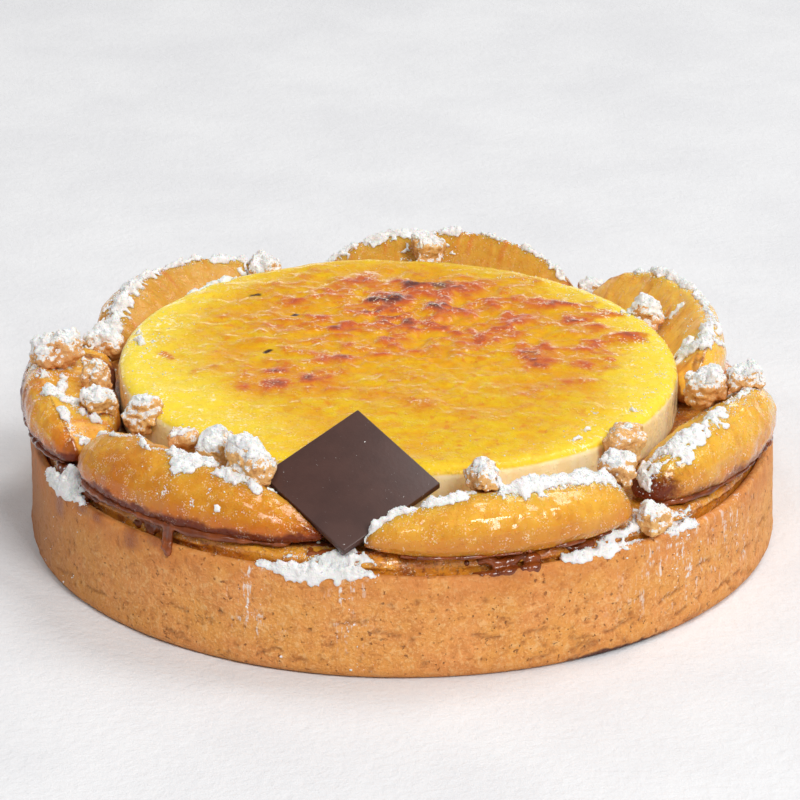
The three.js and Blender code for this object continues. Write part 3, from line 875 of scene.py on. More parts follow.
to_plaque = plaque_place.inverted()
places = places_of(custard_mesh)
local = places @ np.array(to_plaque.to_3x3()).T + np.array(to_plaque.translation)
under = (np.abs(local[:, :2]) < (PLAQUE_SIDE / 2 + PLAQUE_MARGIN) * MM).all(axis=1)
sunk = np.where(under, np.maximum(0, local[:, 2] + (PLAQUE_THICKNESS + PLAQUE_GAP) * MM), 0)
places[:, 2] -= sunk / plaque_place.to_3x3()[2][2]
move_to(custard_mesh, places)

# Partly painted light: the margin is paler, and is painted lighter still at the left and right edges and the
# front left.
pale_margin_and_painted_light = smoothed(radius + 8 * np.cos(np.radians(2 * bearing)), 56, 78)
pale_margin_and_painted_light = np.maximum(pale_margin_and_painted_light, 0.95 * near_bearing(bearing, -150, 38) * smoothed(radius, 42, 64))
# Painted shade: the low parts between the hills are tinted a darker amber.
painted_hollow_shade = smoothed(hills, 0.1, -0.35) * (1 - 0.5 * smoothed(radius, 60, 73))
marks = {"toast": toast, "speck": speck, "skin": on_top, "margin": pale_margin_and_painted_light, "painted_hollow_shade": painted_hollow_shade}
for name, values in marks.items():
    keep_field(custard_mesh, name, values)
print("pressed under the plaque:", int((sunk > 0).sum()), "vertices")

# %% [markdown]
# Heat takes the custard's skin through a known run of colours, from yellow over orange and red brown to dark
# brown, so a colour ramp fits here better than washes: it reads the toast field, roughened by two noises so
# that no edge is smooth. Washes then add amber in the hollows as painted shade, broken brown flecks, the
# pale margin with its painted light, the black specks, and white specks that are crystals and painted
# glints. The side is streaky cream.

# %% Custard finish
finish, tree, shader = new_finish("grilled_custard", {
    "Specular IOR Level": 0.14, "Coat Roughness": 0.1,
    "Subsurface Weight": 0.35, "Subsurface Scale": 0.003, "Subsurface Radius": (1.0, 0.7, 0.2),
})
place = object_place(tree)
fine = maths(tree, "SUBTRACT", grain(tree, place, 1.4, 5, 0.7, 0.3), 0.5)
wide = maths(tree, "SUBTRACT", grain(tree, place, 8, 4, 0.6, 0.4), 0.44)
heat = maths(tree, "ADD", field(tree, "toast"), times(tree, fine, 0.48))
heat = maths(tree, "ADD", heat, times(tree, wide, 0.65))
grilled = ramp(tree, heat, [
    (0.0, paint(227, 185, 26)), (0.14, paint(221, 166, 20)), (0.28, paint(215, 145, 25)),
    (0.44, paint(210, 123, 35)), (0.6, paint(200, 95, 46)), (0.8, paint(164, 85, 59)),
    (1.0, paint(100, 58, 53)),
])
warm = band(tree, field(tree, "toast"), 0.08, 0.3)
cool = maths(tree, "SUBTRACT", 1, warm)
broken = band(tree, grain(tree, place, 3.2, 3, 0.6, 0.4), 0.57, 0.67)
# Painted shade: amber in the hollows.
grilled = wash(tree, grilled, paint(223, 150, 26), field(tree, "painted_hollow_shade"), 0.6)
grilled = wash(tree, grilled, paint(210, 108, 36), broken, band(tree, warm, 0, 1, 0.5, 0.8))
# The pale margin, partly painted light at its left, right and front left.
grilled = wash(tree, grilled, paint(249, 224, 70), field(tree, "margin"), cool, 0.8)
grilled = wash(tree, grilled, paint(66, 42, 36), band(tree, field(tree, "speck"), 0.2, 0.75))
skin = use_group(tree, skin_group, {"Size": 1.5})
# Painted glints: white specks, partly sugar crystals, strongest on the margin and the toasted middle.
sparkle = maths(tree, "ADD", times(tree, field(tree, "margin"), 0.9), times(tree, warm, 0.5), clamp=True)
grilled = wash(tree, grilled, CRYSTAL_AND_GLINT_WHITE, skin["Crystals and glints"], sparkle)
streaks = grain(tree, stretched(tree, place, (1, 1, 0.12)), 3.5, 2, 0.5)
cream = tint(tree, band(tree, streaks, 0.35, 0.7), paint(253, 236, 192), paint(249, 226, 170))
colour = wash(tree, cream, grilled, band(tree, field(tree, "skin"), 0.15, 0.75))
wet = grain(tree, place, 2.6, 3, 0.6)
glossy = times(tree, band(tree, wet, 0.46, 0.62, 0.02, 0.5), band(tree, warm, 0, 1, 0.2, 1))
feed(tree, shader.inputs["Base Color"], colour)
feed(tree, shader.inputs["Roughness"], band(tree, wet, 0.44, 0.6, 0.4, 0.14))
feed(tree, shader.inputs["Coat Weight"], glossy)
feed(tree, shader.inputs["Normal"], relief(tree, skin["Height"], 0.25))
add_piece("grilled_custard_disc", custard_mesh, finish, "custard", "custard")

# %% [markdown]
# ## Caramelised apple wedges
# Each wedge is a cooked eighth of an apple: a smooth round back outside, a fibrous cut face inside, browned
# where its edges stood proud in the heat, and dark with caramel where it lay in the syrup. No two were
# cooked alike, so a short table says how much caramel and browning each one took, how ripe its flesh is,
# with painted light in the back right one, how much painted shade darkens it, and at which bearing it burnt,
# if it did.

# %% How each wedge is cooked
WEDGES = {
    "front_left": {"caramel": 1.0, "browned": 0.6, "ripe_and_painted_light": 0.05, "painted_shade": 0.34, "burnt": (-99, 7)},
    "front": {"caramel": 0.35, "browned": 0.5, "ripe_and_painted_light": 0.95, "painted_shade": 0.15},
    "right": {"caramel": 0.6, "browned": 0.6, "ripe_and_painted_light": 0.9, "painted_shade": 0.12, "burnt": (-49, 7)},
    # The back right wedge's high value of 2.0 is painted light.
    "back_right": {"caramel": 0.4, "browned": 0.9, "ripe_and_painted_light": 2.0},
    "back": {"caramel": 0.5, "browned": 0.8, "ripe_and_painted_light": 0.6, "painted_shade": 0.55},
    "back_left": {"caramel": 0.6, "browned": 0.9, "ripe_and_painted_light": 0.5, "painted_shade": 0.5},
    "left": {"caramel": 1.0, "browned": 1.0, "ripe_and_painted_light": 0.15, "burnt": (-180, 15)},
}


def neighbour_mean(mesh, values, rounds):
    pairs = np.empty(len(mesh.edges) * 2, np.int32)
    mesh.edges.foreach_get("vertices", pairs)
    first, second = pairs.reshape(-1, 2).T
    size = len(values)
    count = np.bincount(pairs, minlength=size)[:, None]
    for _ in range(rounds):
        total = np.column_stack([
            np.bincount(first, column[second], size) + np.bincount(second, column[first], size)
            for column in values.T
        ])
        values = 0.5 * values + 0.5 * total / count
    return values


print("wedges:", ", ".join(WEDGES))

# %% [markdown]
# A merged copy of the solid is covered in small even faces, which can then take lumps, fibres
# along the cut face, and fields for the finish. A vertex that stands proud of the mean of its
# neighbours lies on an edge, and that is where the heat browned it.

# %% Wedge forms
WEDGE_FOOT = 31.3
WEDGE_VOXEL = 0.55
wedge_meshes = {}
for seed, (name, cooked) in enumerate(WEDGES.items()):
    mesh = finely_meshed(as_mesh(merged_copy("apple_" + name)), WEDGE_VOXEL, 4)
    places = places_of(mesh)
    outward = outward_of(mesh)
    bearing, radius = polar_of(places)
    up = places[:, 2] / MM - WEDGE_FOOT
    turn = np.radians(bearing)
    round_out = np.column_stack((np.cos(turn), np.sin(turn), np.zeros(len(turn))))
    cut_face = smoothed((outward * round_out).sum(axis=1), 0.25, -0.25)
    fibre_place = np.column_stack((turn * 90, radius * 0.16, up * 0.16)) * MM
    fibres = ripple_mix(fibre_place, (1, 2.0, seed), (0.6, 0.9, seed + 1))
    lumps = ripple_mix(places, (0.4, 9, seed), (0.25, 3.6, seed), (0.13, 1.7, seed))
    lumps = lumps + 0.12 * ripples(fibre_place, 4, seed)
    push_out(mesh, smoothed(up, 0.2, 2.0) * (lumps + 0.14 * cut_face * fibres - 0.1))
    convex = ((places - neighbour_mean(mesh, places, 30)) * outward).sum(axis=1) / MM
    fringe = ripple_mix(places, (1.3, 6, seed + 2), (0.5, 2, seed + 3))
    syrup = smoothed(up + fringe, 6.0, 1.2) * cooked["caramel"]
    if "burnt" in cooked:
        syrup = np.maximum(syrup, near_bearing(bearing, *cooked["burnt"]) * smoothed(up + 2 * fringe, 16, 5))
    low = smoothed(up + 2.0 * ripples(places, 8, seed + 6), 11, 2) * (0.5 + 0.5 * cooked["caramel"])
    keep_field(mesh, "edge", smoothed(convex, 0.12, 0.5) * cooked["browned"])
    keep_field(mesh, "syrup", syrup)
    keep_field(mesh, "cut", cut_face)
    keep_field(mesh, "fibre", cut_face * fibres * 0.3)
    keep_field(mesh, "ripe_and_painted_light", cooked["ripe_and_painted_light"] + 0.3 * cut_face + 0.3 * ripples(places, 12, seed + 5))
    keep_field(mesh, "deep", low * (1 - 0.9 * cut_face))
    keep_field(mesh, "painted_shade", np.full(len(places), cooked.get("painted_shade", 0.0)))
    wedge_meshes[name] = mesh
    print(name, "edge up to", round(float(convex.max()), 2), "mm")

# %% [markdown]
# Cooked apple glows, because light goes several millimetres deep, so its subsurface scattering is the
# strongest of all. All the wedges share one finish, and the fields make them differ: riper flesh is
# yellower, low parts are amber, edges brown, and the parts that lay in the syrup a dark red brown. Painted
# shade darkens some wedges, and the back right one, in shade, is painted brighter as painted light. The wet
# back mirrors the lamps, and the drier cut face hardly does.

# %% Apple finish
finish, tree, shader = new_finish("caramelised_apple", {
    "Specular IOR Level": 0.22, "Coat Roughness": 0.04,
    "Subsurface Weight": 0.7, "Subsurface Scale": 0.006, "Subsurface Radius": (1.0, 0.45, 0.1),
})
place = object_place(tree)
soft = grain(tree, place, 14, 3, 0.5)
blots = grain(tree, place, 4, 4, 0.6, 0.4)
flecks = times(tree, maths(tree, "SUBTRACT", grain(tree, place, 1.2, 3, 0.6), 0.5), 0.6)
strands = grain(tree, stretched(tree, place, (1, 1, 0.22)), 2.2, 3, 0.55, 0.2)
brown = band(tree, maths(tree, "ADD", field(tree, "edge"), times(tree, blots, 0.5)), 0.4, 0.95)
dark = band(tree, maths(tree, "ADD", field(tree, "syrup"), flecks), 0.25, 0.8)
colour = tint(tree, band(tree, soft, 0.36, 0.64), paint(228, 160, 36), paint(212, 128, 26))
colour = wash(tree, colour, paint(236, 182, 62), band(tree, blots, 0.48, 0.7), 0.5)
colour = wash(tree, colour, paint(239, 190, 70), band(tree, field(tree, "ripe_and_painted_light"), 0.0, 1.2), 0.8)
# Painted light: flesh with the highest values, the back right wedge above all, is painted bright as if lit
# through.
colour = wash(tree, colour, paint(255, 194, 84), band(tree, field(tree, "ripe_and_painted_light"), 1.3, 2.3), 0.6)
colour = wash(tree, colour, paint(250, 198, 84), band(tree, strands, 0.5, 0.68), 0.3)
colour = wash(tree, colour, paint(196, 104, 22), band(tree, strands, 0.48, 0.34), 0.2)
# Painted shade: each wedge is darkened by its own amount.
colour = wash(tree, colour, paint(180, 118, 28), field(tree, "painted_shade"))
colour = wash(tree, colour, paint(194, 96, 18), field(tree, "deep"), 0.8)
colour = wash(tree, colour, paint(198, 112, 32), band(tree, field(tree, "fibre"), 0.04, 0.36), 0.7)
colour = wash(tree, colour, paint(126, 60, 24), brown, 0.85)
colour = wash(tree, colour, paint(112, 42, 12), dark)
skin = use_group(tree, skin_group, {"Size": 0.9})
# Painted glints: white specks, partly sugar crystals, on the wet back and away from the dark syrup.
sparkle = times(tree, band(tree, field(tree, "cut"), 0, 1, 0.5, 0.24), band(tree, dark, 0, 1, 1, 0.4))
colour = wash(tree, colour, CRYSTAL_AND_GLINT_WHITE, skin["Crystals and glints"], sparkle)
sift_over(tree, shader, colour, band(tree, field(tree, "cut"), 0, 1, 0.16, 0.4), field(tree, "dust"))
wet = times(tree, band(tree, field(tree, "cut"), 0, 1, 0.42, 0.08), band(tree, dark, 0, 1, 1, 0.25))
feed(tree, shader.inputs["Coat Weight"], wet)
feed(tree, shader.inputs["Normal"], relief(tree, skin["Height"], 0.36))
for name, mesh in wedge_meshes.items():
    add_piece("wedge_" + name, mesh, finish, "apple", "apple_" + name)

# %% [markdown]
# ## Crumble
# The nuggets are broken lumps of rubbed butter dough: coarse, matt and sandy. All of them are
# one kind of thing, so their solids are copied into one mesh, covered in small faces
# and roughened by ripples of several sizes. The finish is the shared dough, paler than the crust.

# %% Crumble nuggets
CRUMBLE_VOXEL = 0.42
crumb_nodes = sorted(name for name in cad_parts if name.startswith("crumb_"))
crumble_mesh = finely_meshed(as_mesh(merged_copy(*crumb_nodes)), CRUMBLE_VOXEL, 1)
places = places_of(crumble_mesh)
lumps = 1.1 * ripples(places, 4.4, 1) + 0.7 * np.abs(ripples(places, 2.4, 2))
lumps = lumps + 0.55 * ripples(places, 1.3, 3) + 0.3 * ripples(places, 0.75, 4)
push_out(crumble_mesh, lumps - 0.2)

finish, tree, shader = new_finish("crumble", {
    "Specular IOR Level": 0.3, "Subsurface Weight": 0.1, "Subsurface Scale": 0.002,
    "Subsurface Radius": (1.0, 0.6, 0.3),
})
dough = use_group(tree, dough_group, {
    "Golden": paint(232, 180, 108), "Rosy": paint(232, 173, 114), "Browned": paint(202, 134, 70),
    "Pale": paint(245, 208, 150), "Hollow shade": paint(152, 90, 46),
})
sift_over(tree, shader, dough["Colour"], 0.85, field(tree, "dust"))
feed(tree, shader.inputs["Normal"], relief(tree, dough["Height"], 1.0))
add_piece("crumble_nuggets", crumble_mesh, finish, "crumble", *crumb_nodes)

# %% [markdown]
# ## Finding what lies under a topping
# Caramel and sugar rest on the finished pieces, not on the plain solids, so a ray is dropped
# on every piece and the highest hit is kept. A level ray from outside finds the lower edge of
# a wedge in the same way.

# %% Rays on the finished pieces
DOWN = Vector((0, 0, -1))
OUTSIDE, ABOVE, ABOVE_RIM = 125, 120, 60


def ray_tree(*names):
    bm = bmesh.new()
    ends = []
    for name in names:
        bm.from_mesh(scene.objects[name].data)
        ends.append(len(bm.faces))
    tree = BVHTree.FromBMesh(bm)
    bm.free()
    return tree, ends, names


def first_hit(rays, start, along):
    tree, ends, names = rays
    spot, normal, face, _ = tree.ray_cast(start, along)
    return (spot, normal, names[bisect.bisect_right(ends, face)]) if spot else None


def around(bearing, radius, height=0.0):
    turn = math.radians(bearing)
    return Vector((radius * math.cos(turn), radius * math.sin(turn), height)) * MM


def level_hit(rays, bearing, height):
    return first_hit(rays, around(bearing, OUTSIDE, height), around(bearing, -1))


wedge_pieces = ["wedge_" + name for name in WEDGES]
pieces = ["baked_shell", "baked_filling", "grilled_custard_disc", "chocolate_plate", "crumble_nuggets"]
pieces += wedge_pieces
print("pieces under the toppings:", len(pieces))

# %% [markdown]
# A topping is first a heap of small balls: one icosphere, or a plain sphere of eight sides for
# loose grains, is made once and its corners are repeated at every place with a size and turn of
# their own, all in one array.

# %% Heaps of balls
def heap(spots, sizes, chance, plain=False):
    bm = bmesh.new()
    if plain:
        bmesh.ops.create_uvsphere(bm, u_segments=4, v_segments=2, radius=1)
    else:
        bmesh.ops.create_icosphere(bm, subdivisions=1, radius=1)
    bm.verts.index_update()
    ball = np.array([v.co for v in bm.verts])
    sides = np.array([[v.index for v in f.verts] for f in bm.faces])
    bm.free()
    turns = np.linalg.qr(chance.normal(size=(len(spots), 3, 3)))[0]
    turns[:, :, 0] *= np.linalg.det(turns)[:, None]
    corners = np.einsum("nij,kj->nki", turns, ball) * (np.asarray(sizes) * MM)[:, None, None]
    corners += np.asarray(spots)[:, None, :]
    faces = sides[None] + np.arange(len(spots))[:, None, None] * len(ball)
    mesh = bpy.data.meshes.new("draft")
    mesh.from_pydata(corners.reshape(-1, 3), [], faces.reshape(-1, 3))
    mesh.update()
    return mesh


print("heap ready")

# %% [markdown]
# ## Caramel
# Dark syrup boiled out from under the wedges and set in a glossy line along their lower
# edges, with drips over the rim. A level ray finds the edge at each bearing, and a ball is set
# there; the size wanders, so that the line swells and thins. A voxel cover joins the balls.

# %% Caramel lines
LIP_HEIGHT = 32.2
LINES = [
    ("front_left", -152, -101, 1.15), ("left", 164, 207, 1.05), ("front", -95, -58, 0.55),
    ("right", -47, -30, 1.0), ("right", -30, -7, 0.6), ("back_right", -2, 50, 0.6),
    ("back", 56, 106, 0.65), ("back_left", 115, 158, 0.75),
]
chance = np.random.default_rng(21)
spots, sizes = [], []
for name, start, end, size in LINES:
    rays = ray_tree("wedge_" + name)
    for bearing in np.arange(start, end, 0.3):
        hit = level_hit(rays, bearing, LIP_HEIGHT)
        if hit and hit[0].xy.length > 88 * MM:
            thick = size * (0.8 + 0.5 * ripples([hit[0]], 5, 3)[0] + 0.35 * ripples([hit[0]], 1.8, 4)[0])
            if thick > 0.3:
                spots.append(hit[0] + around(bearing, -0.1, -0.5))
                sizes.append(thick)
print("balls in the lines:", len(spots))

# %% [markdown]
# A drip runs from a wedge's lip to the rim and then down the wall, fatter at its end. Pools lie
# where syrup gathered on the filling and the rim: a scatter of balls, half sunk, that the cover
# melts together.

# %% Drips and pools
DRIPS = [
    ("front_left", -125.6, 25.2, 1.1), ("front_left", -126.6, 26.4, 0.9),
    ("left", 172, 23, 0.9), ("back", 100, 24, 0.8),
]
POOLS = [
    (-76, 97.0, 4.0, 26), (-71.5, 97.2, 2.0, 18), (-100, 94, 4, 26), (-48.5, 93, 3, 24),
    (-155, 95, 4, 22), (-146, 95.6, 5, 26), (-131, 95, 4, 20), (-63, 95.5, 3, 14), (-104, 89, 3, 20),
]
DRIP_RADIUS, DRIP_TOP = 98.4, 27.2
low_rays = ray_tree("baked_shell", "baked_filling")
for name, bearing, low, size in DRIPS:
    lip = level_hit(ray_tree("wedge_" + name), bearing, LIP_HEIGHT)[0]
    rim = first_hit(low_rays, around(bearing, DRIP_RADIUS, ABOVE_RIM), DOWN)[0]
    for share in np.linspace(0, 1, 16):
        spots.append(lip.lerp(rim, share) + around(bearing, 0, -0.4 * math.sin(math.pi * share)))
        sizes.append(0.8 * size)
    for height in np.arange(DRIP_TOP, low, -0.3):
        start = around(bearing + 0.3 * math.sin(height), OUTSIDE, height)
        spots.append(first_hit(low_rays, start, around(bearing, -1))[0])
        sizes.append(size * (0.65 + 0.35 * (DRIP_TOP - height) / (DRIP_TOP - low)))
for bearing, radius, half, count in POOLS:
    for _ in range(3 * count):
        start = around(bearing + chance.normal() * half * 0.4, radius + chance.normal() * 0.7, ABOVE_RIM)
        hit = first_hit(low_rays, start, DOWN)
        if hit:
            sizes.append(chance.uniform(0.8, 1.4))
            spots.append(hit[0] - hit[1] * (0.5 * sizes[-1] * MM))
print("balls with the drips and pools:", len(spots))

# %% [markdown]
# Set caramel is dark amber with a hard shine. It is thin here, so its colour is painted instead of
# being left to light that passes through it, and a clear coat carries the shine.

# %% Caramel finish
CARAMEL_VOXEL = 0.38
caramel_mesh = finely_meshed(heap(spots, sizes, chance), CARAMEL_VOXEL, 6)
push_out(caramel_mesh, 0.12 + 0.12 * ripples(places_of(caramel_mesh), 2.6, 5))

finish, tree, shader = new_finish("dark_caramel", {
    "Specular IOR Level": 0.2, "Coat Weight": 0.7, "Coat Roughness": 0.04,
})
thick = grain(tree, object_place(tree), 6, 3, 0.55)
colour = tint(tree, band(tree, thick, 0.38, 0.68), paint(106, 46, 16), paint(148, 73, 27))
skin = use_group(tree, skin_group, {"Size": 0.9})
feed(tree, shader.inputs["Base Color"], colour)
feed(tree, shader.inputs["Roughness"], band(tree, thick, 0.3, 0.7, 0.12, 0.3))
feed(tree, shader.inputs["Normal"], relief(tree, skin["Height"], 0.4))
add_piece("caramel", caramel_mesh, finish, "caramel")

# %% [markdown]
# ## Icing sugar
# Sugar was sifted over the ring of apples. It lies in crumbling heaps along the ridges and on
# the nuggets, has slid into drifts on the rim, and is thin on steep faces. Each stroke of the
# sieve is a path of bearings and radii, a width in millimetres and a strength.

# %% Ridges of the wedges
def ridge(name, start, end):
    rays = ray_tree("wedge_" + name)
    path = []
    for bearing in np.arange(start, end, 2.0):
        line = [first_hit(rays, around(bearing, r, ABOVE), DOWN) for r in np.arange(76, 104, 0.8)]
        tops = [hit[0] for hit in line if hit]
        if tops:
            path.append((bearing, max(tops, key=lambda spot: spot.z).xy.length / MM))
    return path


STROKES = [
    (ridge("front_left", -151, -128), 0.9, 0.85), (ridge("front", -95, -80), 1.4, 1.0),
    (ridge("front", -75, -54), 2.5, 1.3), (ridge("right", -46, -7), 2.8, 0.72),
    (ridge("back_right", 5, 44), 2.0, 1.0), (ridge("back", 58, 86), 1.4, 0.85),
    (ridge("back", 86, 106), 1.8, 1.0), (ridge("back_left", 120, 150), 1.5, 0.9),
    (ridge("back_left", 146, 158), 3.0, 1.1), (ridge("left", 164, 190), 2.8, 0.95),
]
print("strokes on the ridges:", len(STROKES))

# %% [markdown]
# Besides the ridges, sugar caught in patches on the wedges, along the custard's edge and on every nugget.
# These strokes are listed one by one, wedge by wedge, because chance would not put them where the real sieve
# did. What slid down to the rim is a list of its own: it lies under the wedges' edges, where only the shell
# and the filling may stop a ray.

# %% Patches and drifts
STROKES += [
    ([(-54, 91), (-54, 92)], 1.2, 0.95), ([(-74, 86), (-68, 84), (-62, 84)], 1.8, 0.95),
    ([(-44, 85), (-41, 86), (-40, 88), (-37, 91)], 2.4, 1.0), ([(-42, 88), (-40, 93)], 1.8, 0.85),
    ([(-46, 86), (-47, 90)], 1.4, 0.85), ([(-12, 90), (-9, 94)], 2.6, 1.1),
    ([(-17, 81), (-16, 84)], 1.7, 1.0), ([(7, 76), (5, 80), (7, 84)], 2.6, 0.95),
    ([(8, 84), (4, 80)], 1.5, 0.9), ([(10, 78), (7, 76)], 1.3, 0.85),
    ([(24, 81), (23, 84)], 1.0, 0.7), ([(14, 79), (16, 82)], 1.0, 0.65),
    ([(154, 88), (157, 90)], 3.0, 1.0), ([(152, 86)], 1.0, 0.75), ([(147, 89)], 1.0, 0.75),
    ([(142, 87)], 1.1, 0.75), ([(-179, 99), (-171, 95)], 1.3, 0.9), ([(-173, 90), (-166, 91)], 1.2, 0.85),
    ([(-166, 96), (-164, 92), (-162, 89), (-158, 85)], 1.8, 0.95),
    ([(-160, 93), (-156, 93), (-154, 90)], 1.5, 0.95), ([(-131, 87), (-126, 88), (-123, 86)], 2.2, 1.05),
    ([(-129, 83), (-123, 82), (-118, 84), (-115, 86)], 2.2, 1.1),
    ([(-128, 90), (-127, 93), (-125, 91)], 1.7, 1.0), ([(-120, 94)], 0.8, 0.9),
    ([(-119, 88), (-118, 90)], 1.1, 0.95), ([(-116, 88), (-113, 90)], 1.2, 0.95),
    ([(-127, 97)], 1.1, 1.1), ([(-122, 97)], 0.8, 1.0), ([(-118, 97)], 1.0, 1.05),
    ([(143, 74), (137, 74), (130, 73)], 1.4, 0.95), ([(141, 78)], 2.5, 0.9),
    ([(-46, 67)], 1.0, 1.0), ([(-31, 69), (-30, 70)], 1.1, 1.05), ([(-38, 61), (-37, 62)], 0.8, 0.9),
    ([(-52, 69), (-50, 69)], 0.9, 0.9), ([(65, 64), (62, 66)], 0.7, 0.8), ([(41, 70)], 0.8, 0.85),
    ([(29, 69)], 0.8, 0.85), ([(170, 72)], 1.0, 1.0), ([(174, 71), (176, 70)], 1.1, 1.05),
    ([(175, 67)], 0.8, 0.95), ([(179, 68)], 0.8, 0.9), ([(166, 65)], 0.6, 0.85),
]
THINLY_SUGARED = {"crumb_02": 0.6, "crumb_06": 0.6, "crumb_09": 0.6, "crumb_11": 0.35}
for node in crumb_nodes:
    low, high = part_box(node)
    middle, reach = (low + high) / 2, (high - low).xy.length / 2 / MM
    spot = (math.degrees(math.atan2(middle.y, middle.x)), middle.xy.length / MM)
    STROKES.append(([spot], 0.75 * reach, THINLY_SUGARED.get(node, 1.05)))

RIM_STROKES = [
    ([(-158, 98), (-154, 98), (-150, 97), (-146, 98)], 2.2, 1.3), ([(-155, 95), (-151, 96)], 2.0, 1.0),
    ([(-114, 94)], 0.9, 0.9), ([(-103, 88), (-103, 90)], 0.9, 0.9), ([(-99, 93), (-97, 94)], 1.0, 0.95),
    ([(-111, 98), (-107, 98)], 1.3, 1.05),
    ([(-107, 98), (-103, 97), (-100, 96), (-98, 97), (-95, 98)], 2.1, 1.3),
    ([(-50, 92), (-52, 94), (-53, 96), (-56, 96)], 2.0, 1.25),
    ([(-56, 96), (-60, 97), (-64, 98), (-66, 98)], 1.3, 1.15),
    ([(-50, 92), (-48, 95), (-45, 96), (-42, 98)], 1.6, 1.15), ([(-48, 97), (-45, 98), (-42, 98)], 1.4, 1.1),
    ([(84, 97), (92, 97), (100, 97)], 1.4, 1.0), ([(20, 97), (27, 98)], 1.4, 1.0),
    ([(-2, 96), (-5, 98)], 1.4, 1.0),
]
print("strokes:", len(STROKES), "and on the rim:", len(RIM_STROKES))

# %% [markdown]
# How much sugar fell at a place is given by the stroke that is strongest there, and each stroke
# fades with the distance from its path. A mere film needs no shape, so it is kept as the field
# `dust`, which the finishes read: thin on steep faces, thicker on the rough nuggets that hold it.

# %% How much sugar fell
def fallen(places, strokes, spread=1.0):
    flat = np.asarray(places)[:, :2] / MM
    amount = np.zeros(len(flat))
    for path, width, strength in strokes:
        line = np.array([around(*step).xy for step in path]) / MM
        wide = width * spread
        for start, end in zip(line, line[1:] if len(line) > 1 else line):
            low, high = np.minimum(start, end) - 2.4 * wide, np.maximum(start, end) + 2.4 * wide
            near = np.nonzero(((flat > low) & (flat < high)).all(axis=1))[0]
            run = end - start
            share = np.clip((flat[near] - start) @ run / max(run @ run, 1e-9), 0, 1)
            gap = np.linalg.norm(flat[near] - start - share[:, None] * run, axis=1)
            amount[near] = np.maximum(amount[near], strength * np.exp(-((gap / wide) ** 2)))
    return amount


for name in ["crumble_nuggets", "baked_filling"] + wedge_pieces:
    mesh = scene.objects[name].data
    least, steepest = (0.4, -0.6) if name == "crumble_nuggets" else (0.12, -0.1)
    strokes = RIM_STROKES if name == "baked_filling" else STROKES
    film = np.maximum(0.6 * fallen(places_of(mesh), strokes), 0.42 * fallen(places_of(mesh), strokes, 1.9))
    facing = smoothed(outward_of(mesh)[:, 2], steepest, 0.6)
    keep_field(mesh, "dust", facing * (least + np.minimum(0.85 * film, 0.6)))
pieces.append("caramel")
all_rays = ray_tree(*pieces)
print("dust kept on the wedges, the filling and the nuggets")

# %% [markdown]
# A heap of powder is made as one really forms: balls of sugar drop side by side onto the tart,
# and pile up where more has fallen. Ripples of four sizes break the strokes into clumps with
# ragged edges, and a voxel cover joins each pile into one crumbly skin.

# %% Heaps of sugar
BALL_STEP, LAYER_STEP = 0.55, 0.45
LEAST_SUGAR = 0.12
chance = np.random.default_rng(33)
steps = np.arange(-101, 101, BALL_STEP)
level = np.stack(np.meshgrid(steps, steps), axis=-1).reshape(-1, 2)
level = np.column_stack((level + chance.uniform(-0.25, 0.25, level.shape), np.full(len(level), ABOVE))) * MM
spots, sizes = [], []
for rays, strokes in ((all_rays, STROKES), (low_rays, RIM_STROKES)):
    hits = [first_hit(rays, Vector(start), DOWN) for start in level[fallen(level, strokes) > LEAST_SUGAR]]
    hits = [hit for hit in hits if hit and hit[1].z > 0.15 and hit[2] != "chocolate_plate"]
    ground, facing = np.array([hit[0] for hit in hits]), np.array([hit[1] for hit in hits])
    powder = ripple_mix(ground, (0.45, 14, 4), (0.55, 5.5, 1), (0.75, 2.2, 2), (0.7, 1.0, 3))
    depth = (1.5 * fallen(ground, strokes) + powder - 0.9) * smoothed(facing[:, 2], 0.15, 0.5)
    for spot, out, deep in zip(ground, facing, depth):
        for layer in np.arange(0, 1.15 * deep, LAYER_STEP):
            spots.append(spot + out * 0.08 * MM + (0, 0, layer * MM) + chance.normal(0, 0.13 * MM, 3))
            sizes.append(0.3 + 0.2 * chance.uniform() + 0.12 * min(deep, 1))
print("balls of sugar:", len(spots))

# %% [markdown]
# In four places the powder also spilt over the rim and clings to the top of the wall, where only
# a level ray from outside finds its place. Each spill is two bearings and how far down it reaches.

# %% Sugar over the rim
SPILLS = [(-110, -95, 3.4), (-66, -55, 1.6), (-49, -40, 1.8), (-158, -147, 2.8)]
SPILL_TOP = 27.4
for start, end, reach in SPILLS:
    for bearing in np.arange(start, end, 0.25):
        arch = math.sin(math.pi * (bearing - start) / (end - start))
        for down in np.arange(0, reach * arch, 0.4):
            hit = level_hit(low_rays, bearing, SPILL_TOP - down)
            if 0.5 + 0.6 * ripples([hit[0]], 1.6, 5)[0] > down / reach:
                spots.append(np.array(hit[0]) + chance.normal(0, 0.15 * MM, 3))
                sizes.append(0.3 + 0.3 * chance.uniform())
print("balls of sugar with the spills:", len(spots))

# %% [markdown]
# The cover is coarse enough to join the balls and fine enough to keep the heaps crumbly, and a
# last ripple roughens it. Powder is matt and nearly white, a little greyer in patches, and
# scatters light just under its surface, which keeps its shadows soft.

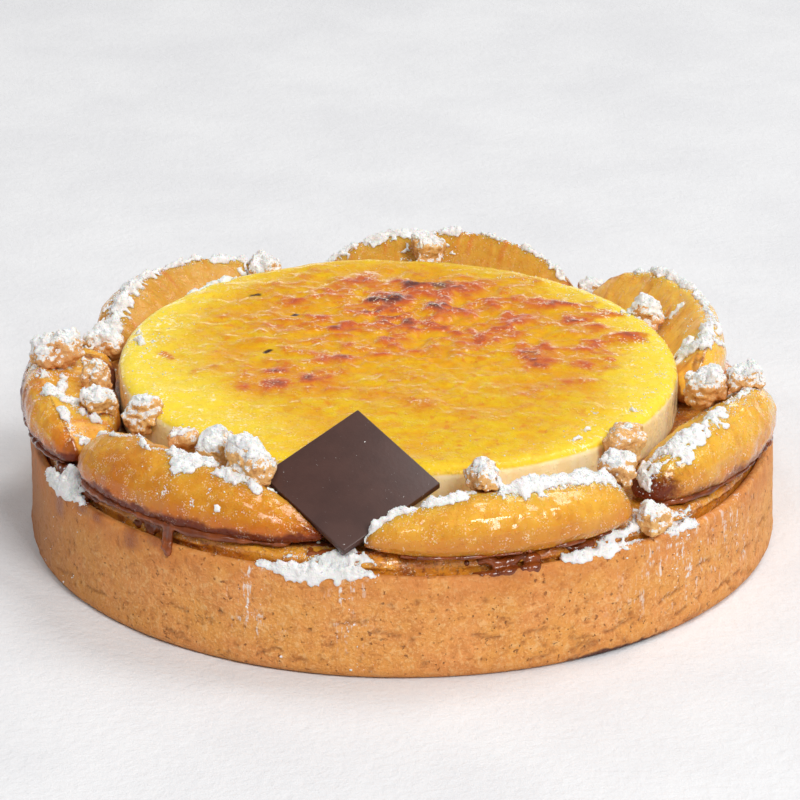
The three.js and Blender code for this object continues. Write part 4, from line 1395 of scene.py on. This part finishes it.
# %% Sugar finish
SUGAR_VOXEL = 0.44
sugar_mesh = finely_meshed(heap(spots, sizes, chance), SUGAR_VOXEL, 1)
push_out(sugar_mesh, 0.18 * ripples(places_of(sugar_mesh), 0.9, 6))

sugar_finish, tree, shader = new_finish("icing_sugar", {
    "Roughness": POWDER_ROUGHNESS, "Specular IOR Level": 0.25,
    "Subsurface Weight": 0.2, "Subsurface Scale": 0.0012,
})
place = object_place(tree)
lumpy = band(tree, grain(tree, place, 2.2, 3, 0.6), 0.3, 0.6)
feed(tree, shader.inputs["Base Color"], tint(tree, lumpy, paint(229, 226, 223), paint(242, 240, 238)))
feed(tree, shader.inputs["Normal"], relief(tree, grain(tree, place, 0.5, 2, 0.6), 0.3))
add_piece("icing_sugar", sugar_mesh, sugar_finish, "icing_sugar")

# %% [markdown]
# The sieve left loose grains too. They are plain eight-sided grains, densest on the heaps, which
# they make look powdery, and thinner beyond their edges. A few lie on the custard's margin.

# %% Loose grains
TRIES = 120000
NEAREST, FARTHEST = 56, 100
bearings = chance.uniform(-180, 180, TRIES)
radii = np.sqrt(chance.uniform(NEAREST**2, FARTHEST**2, TRIES))
tries = np.array([around(b, r) for b, r in zip(bearings, radii)])
sides = near_bearing(bearings, 5, 45) + near_bearing(bearings, 175, 22)
margin = smoothed(radii, 57, 70) * (radii < 74) * sides
share = 0.002 + 0.12 * margin * (ripples(tries, 3, 9) > 0.1) + 0.95 * fallen(tries, STROKES, 1.2) ** 2.2
rim_share = 0.95 * fallen(tries, RIM_STROKES, 1.2) ** 2.2
spots = []
for names, chances in ((pieces, share), (["baked_shell", "baked_filling"], rim_share)):
    rays = ray_tree(*names, "icing_sugar")
    for spot in tries[chance.uniform(size=TRIES) < chances]:
        hit = first_hit(rays, Vector((spot[0], spot[1], ABOVE * MM)), DOWN)
        if hit and hit[1].z > 0.1 and hit[2] != "chocolate_plate":
            spots.append(hit[0] + hit[1] * (0.05 * MM))
sizes = 0.1 + 0.2 * chance.uniform(size=len(spots)) ** 2
add_piece("sugar_grains", heap(spots, sizes, chance, plain=True), sugar_finish, "icing_sugar")
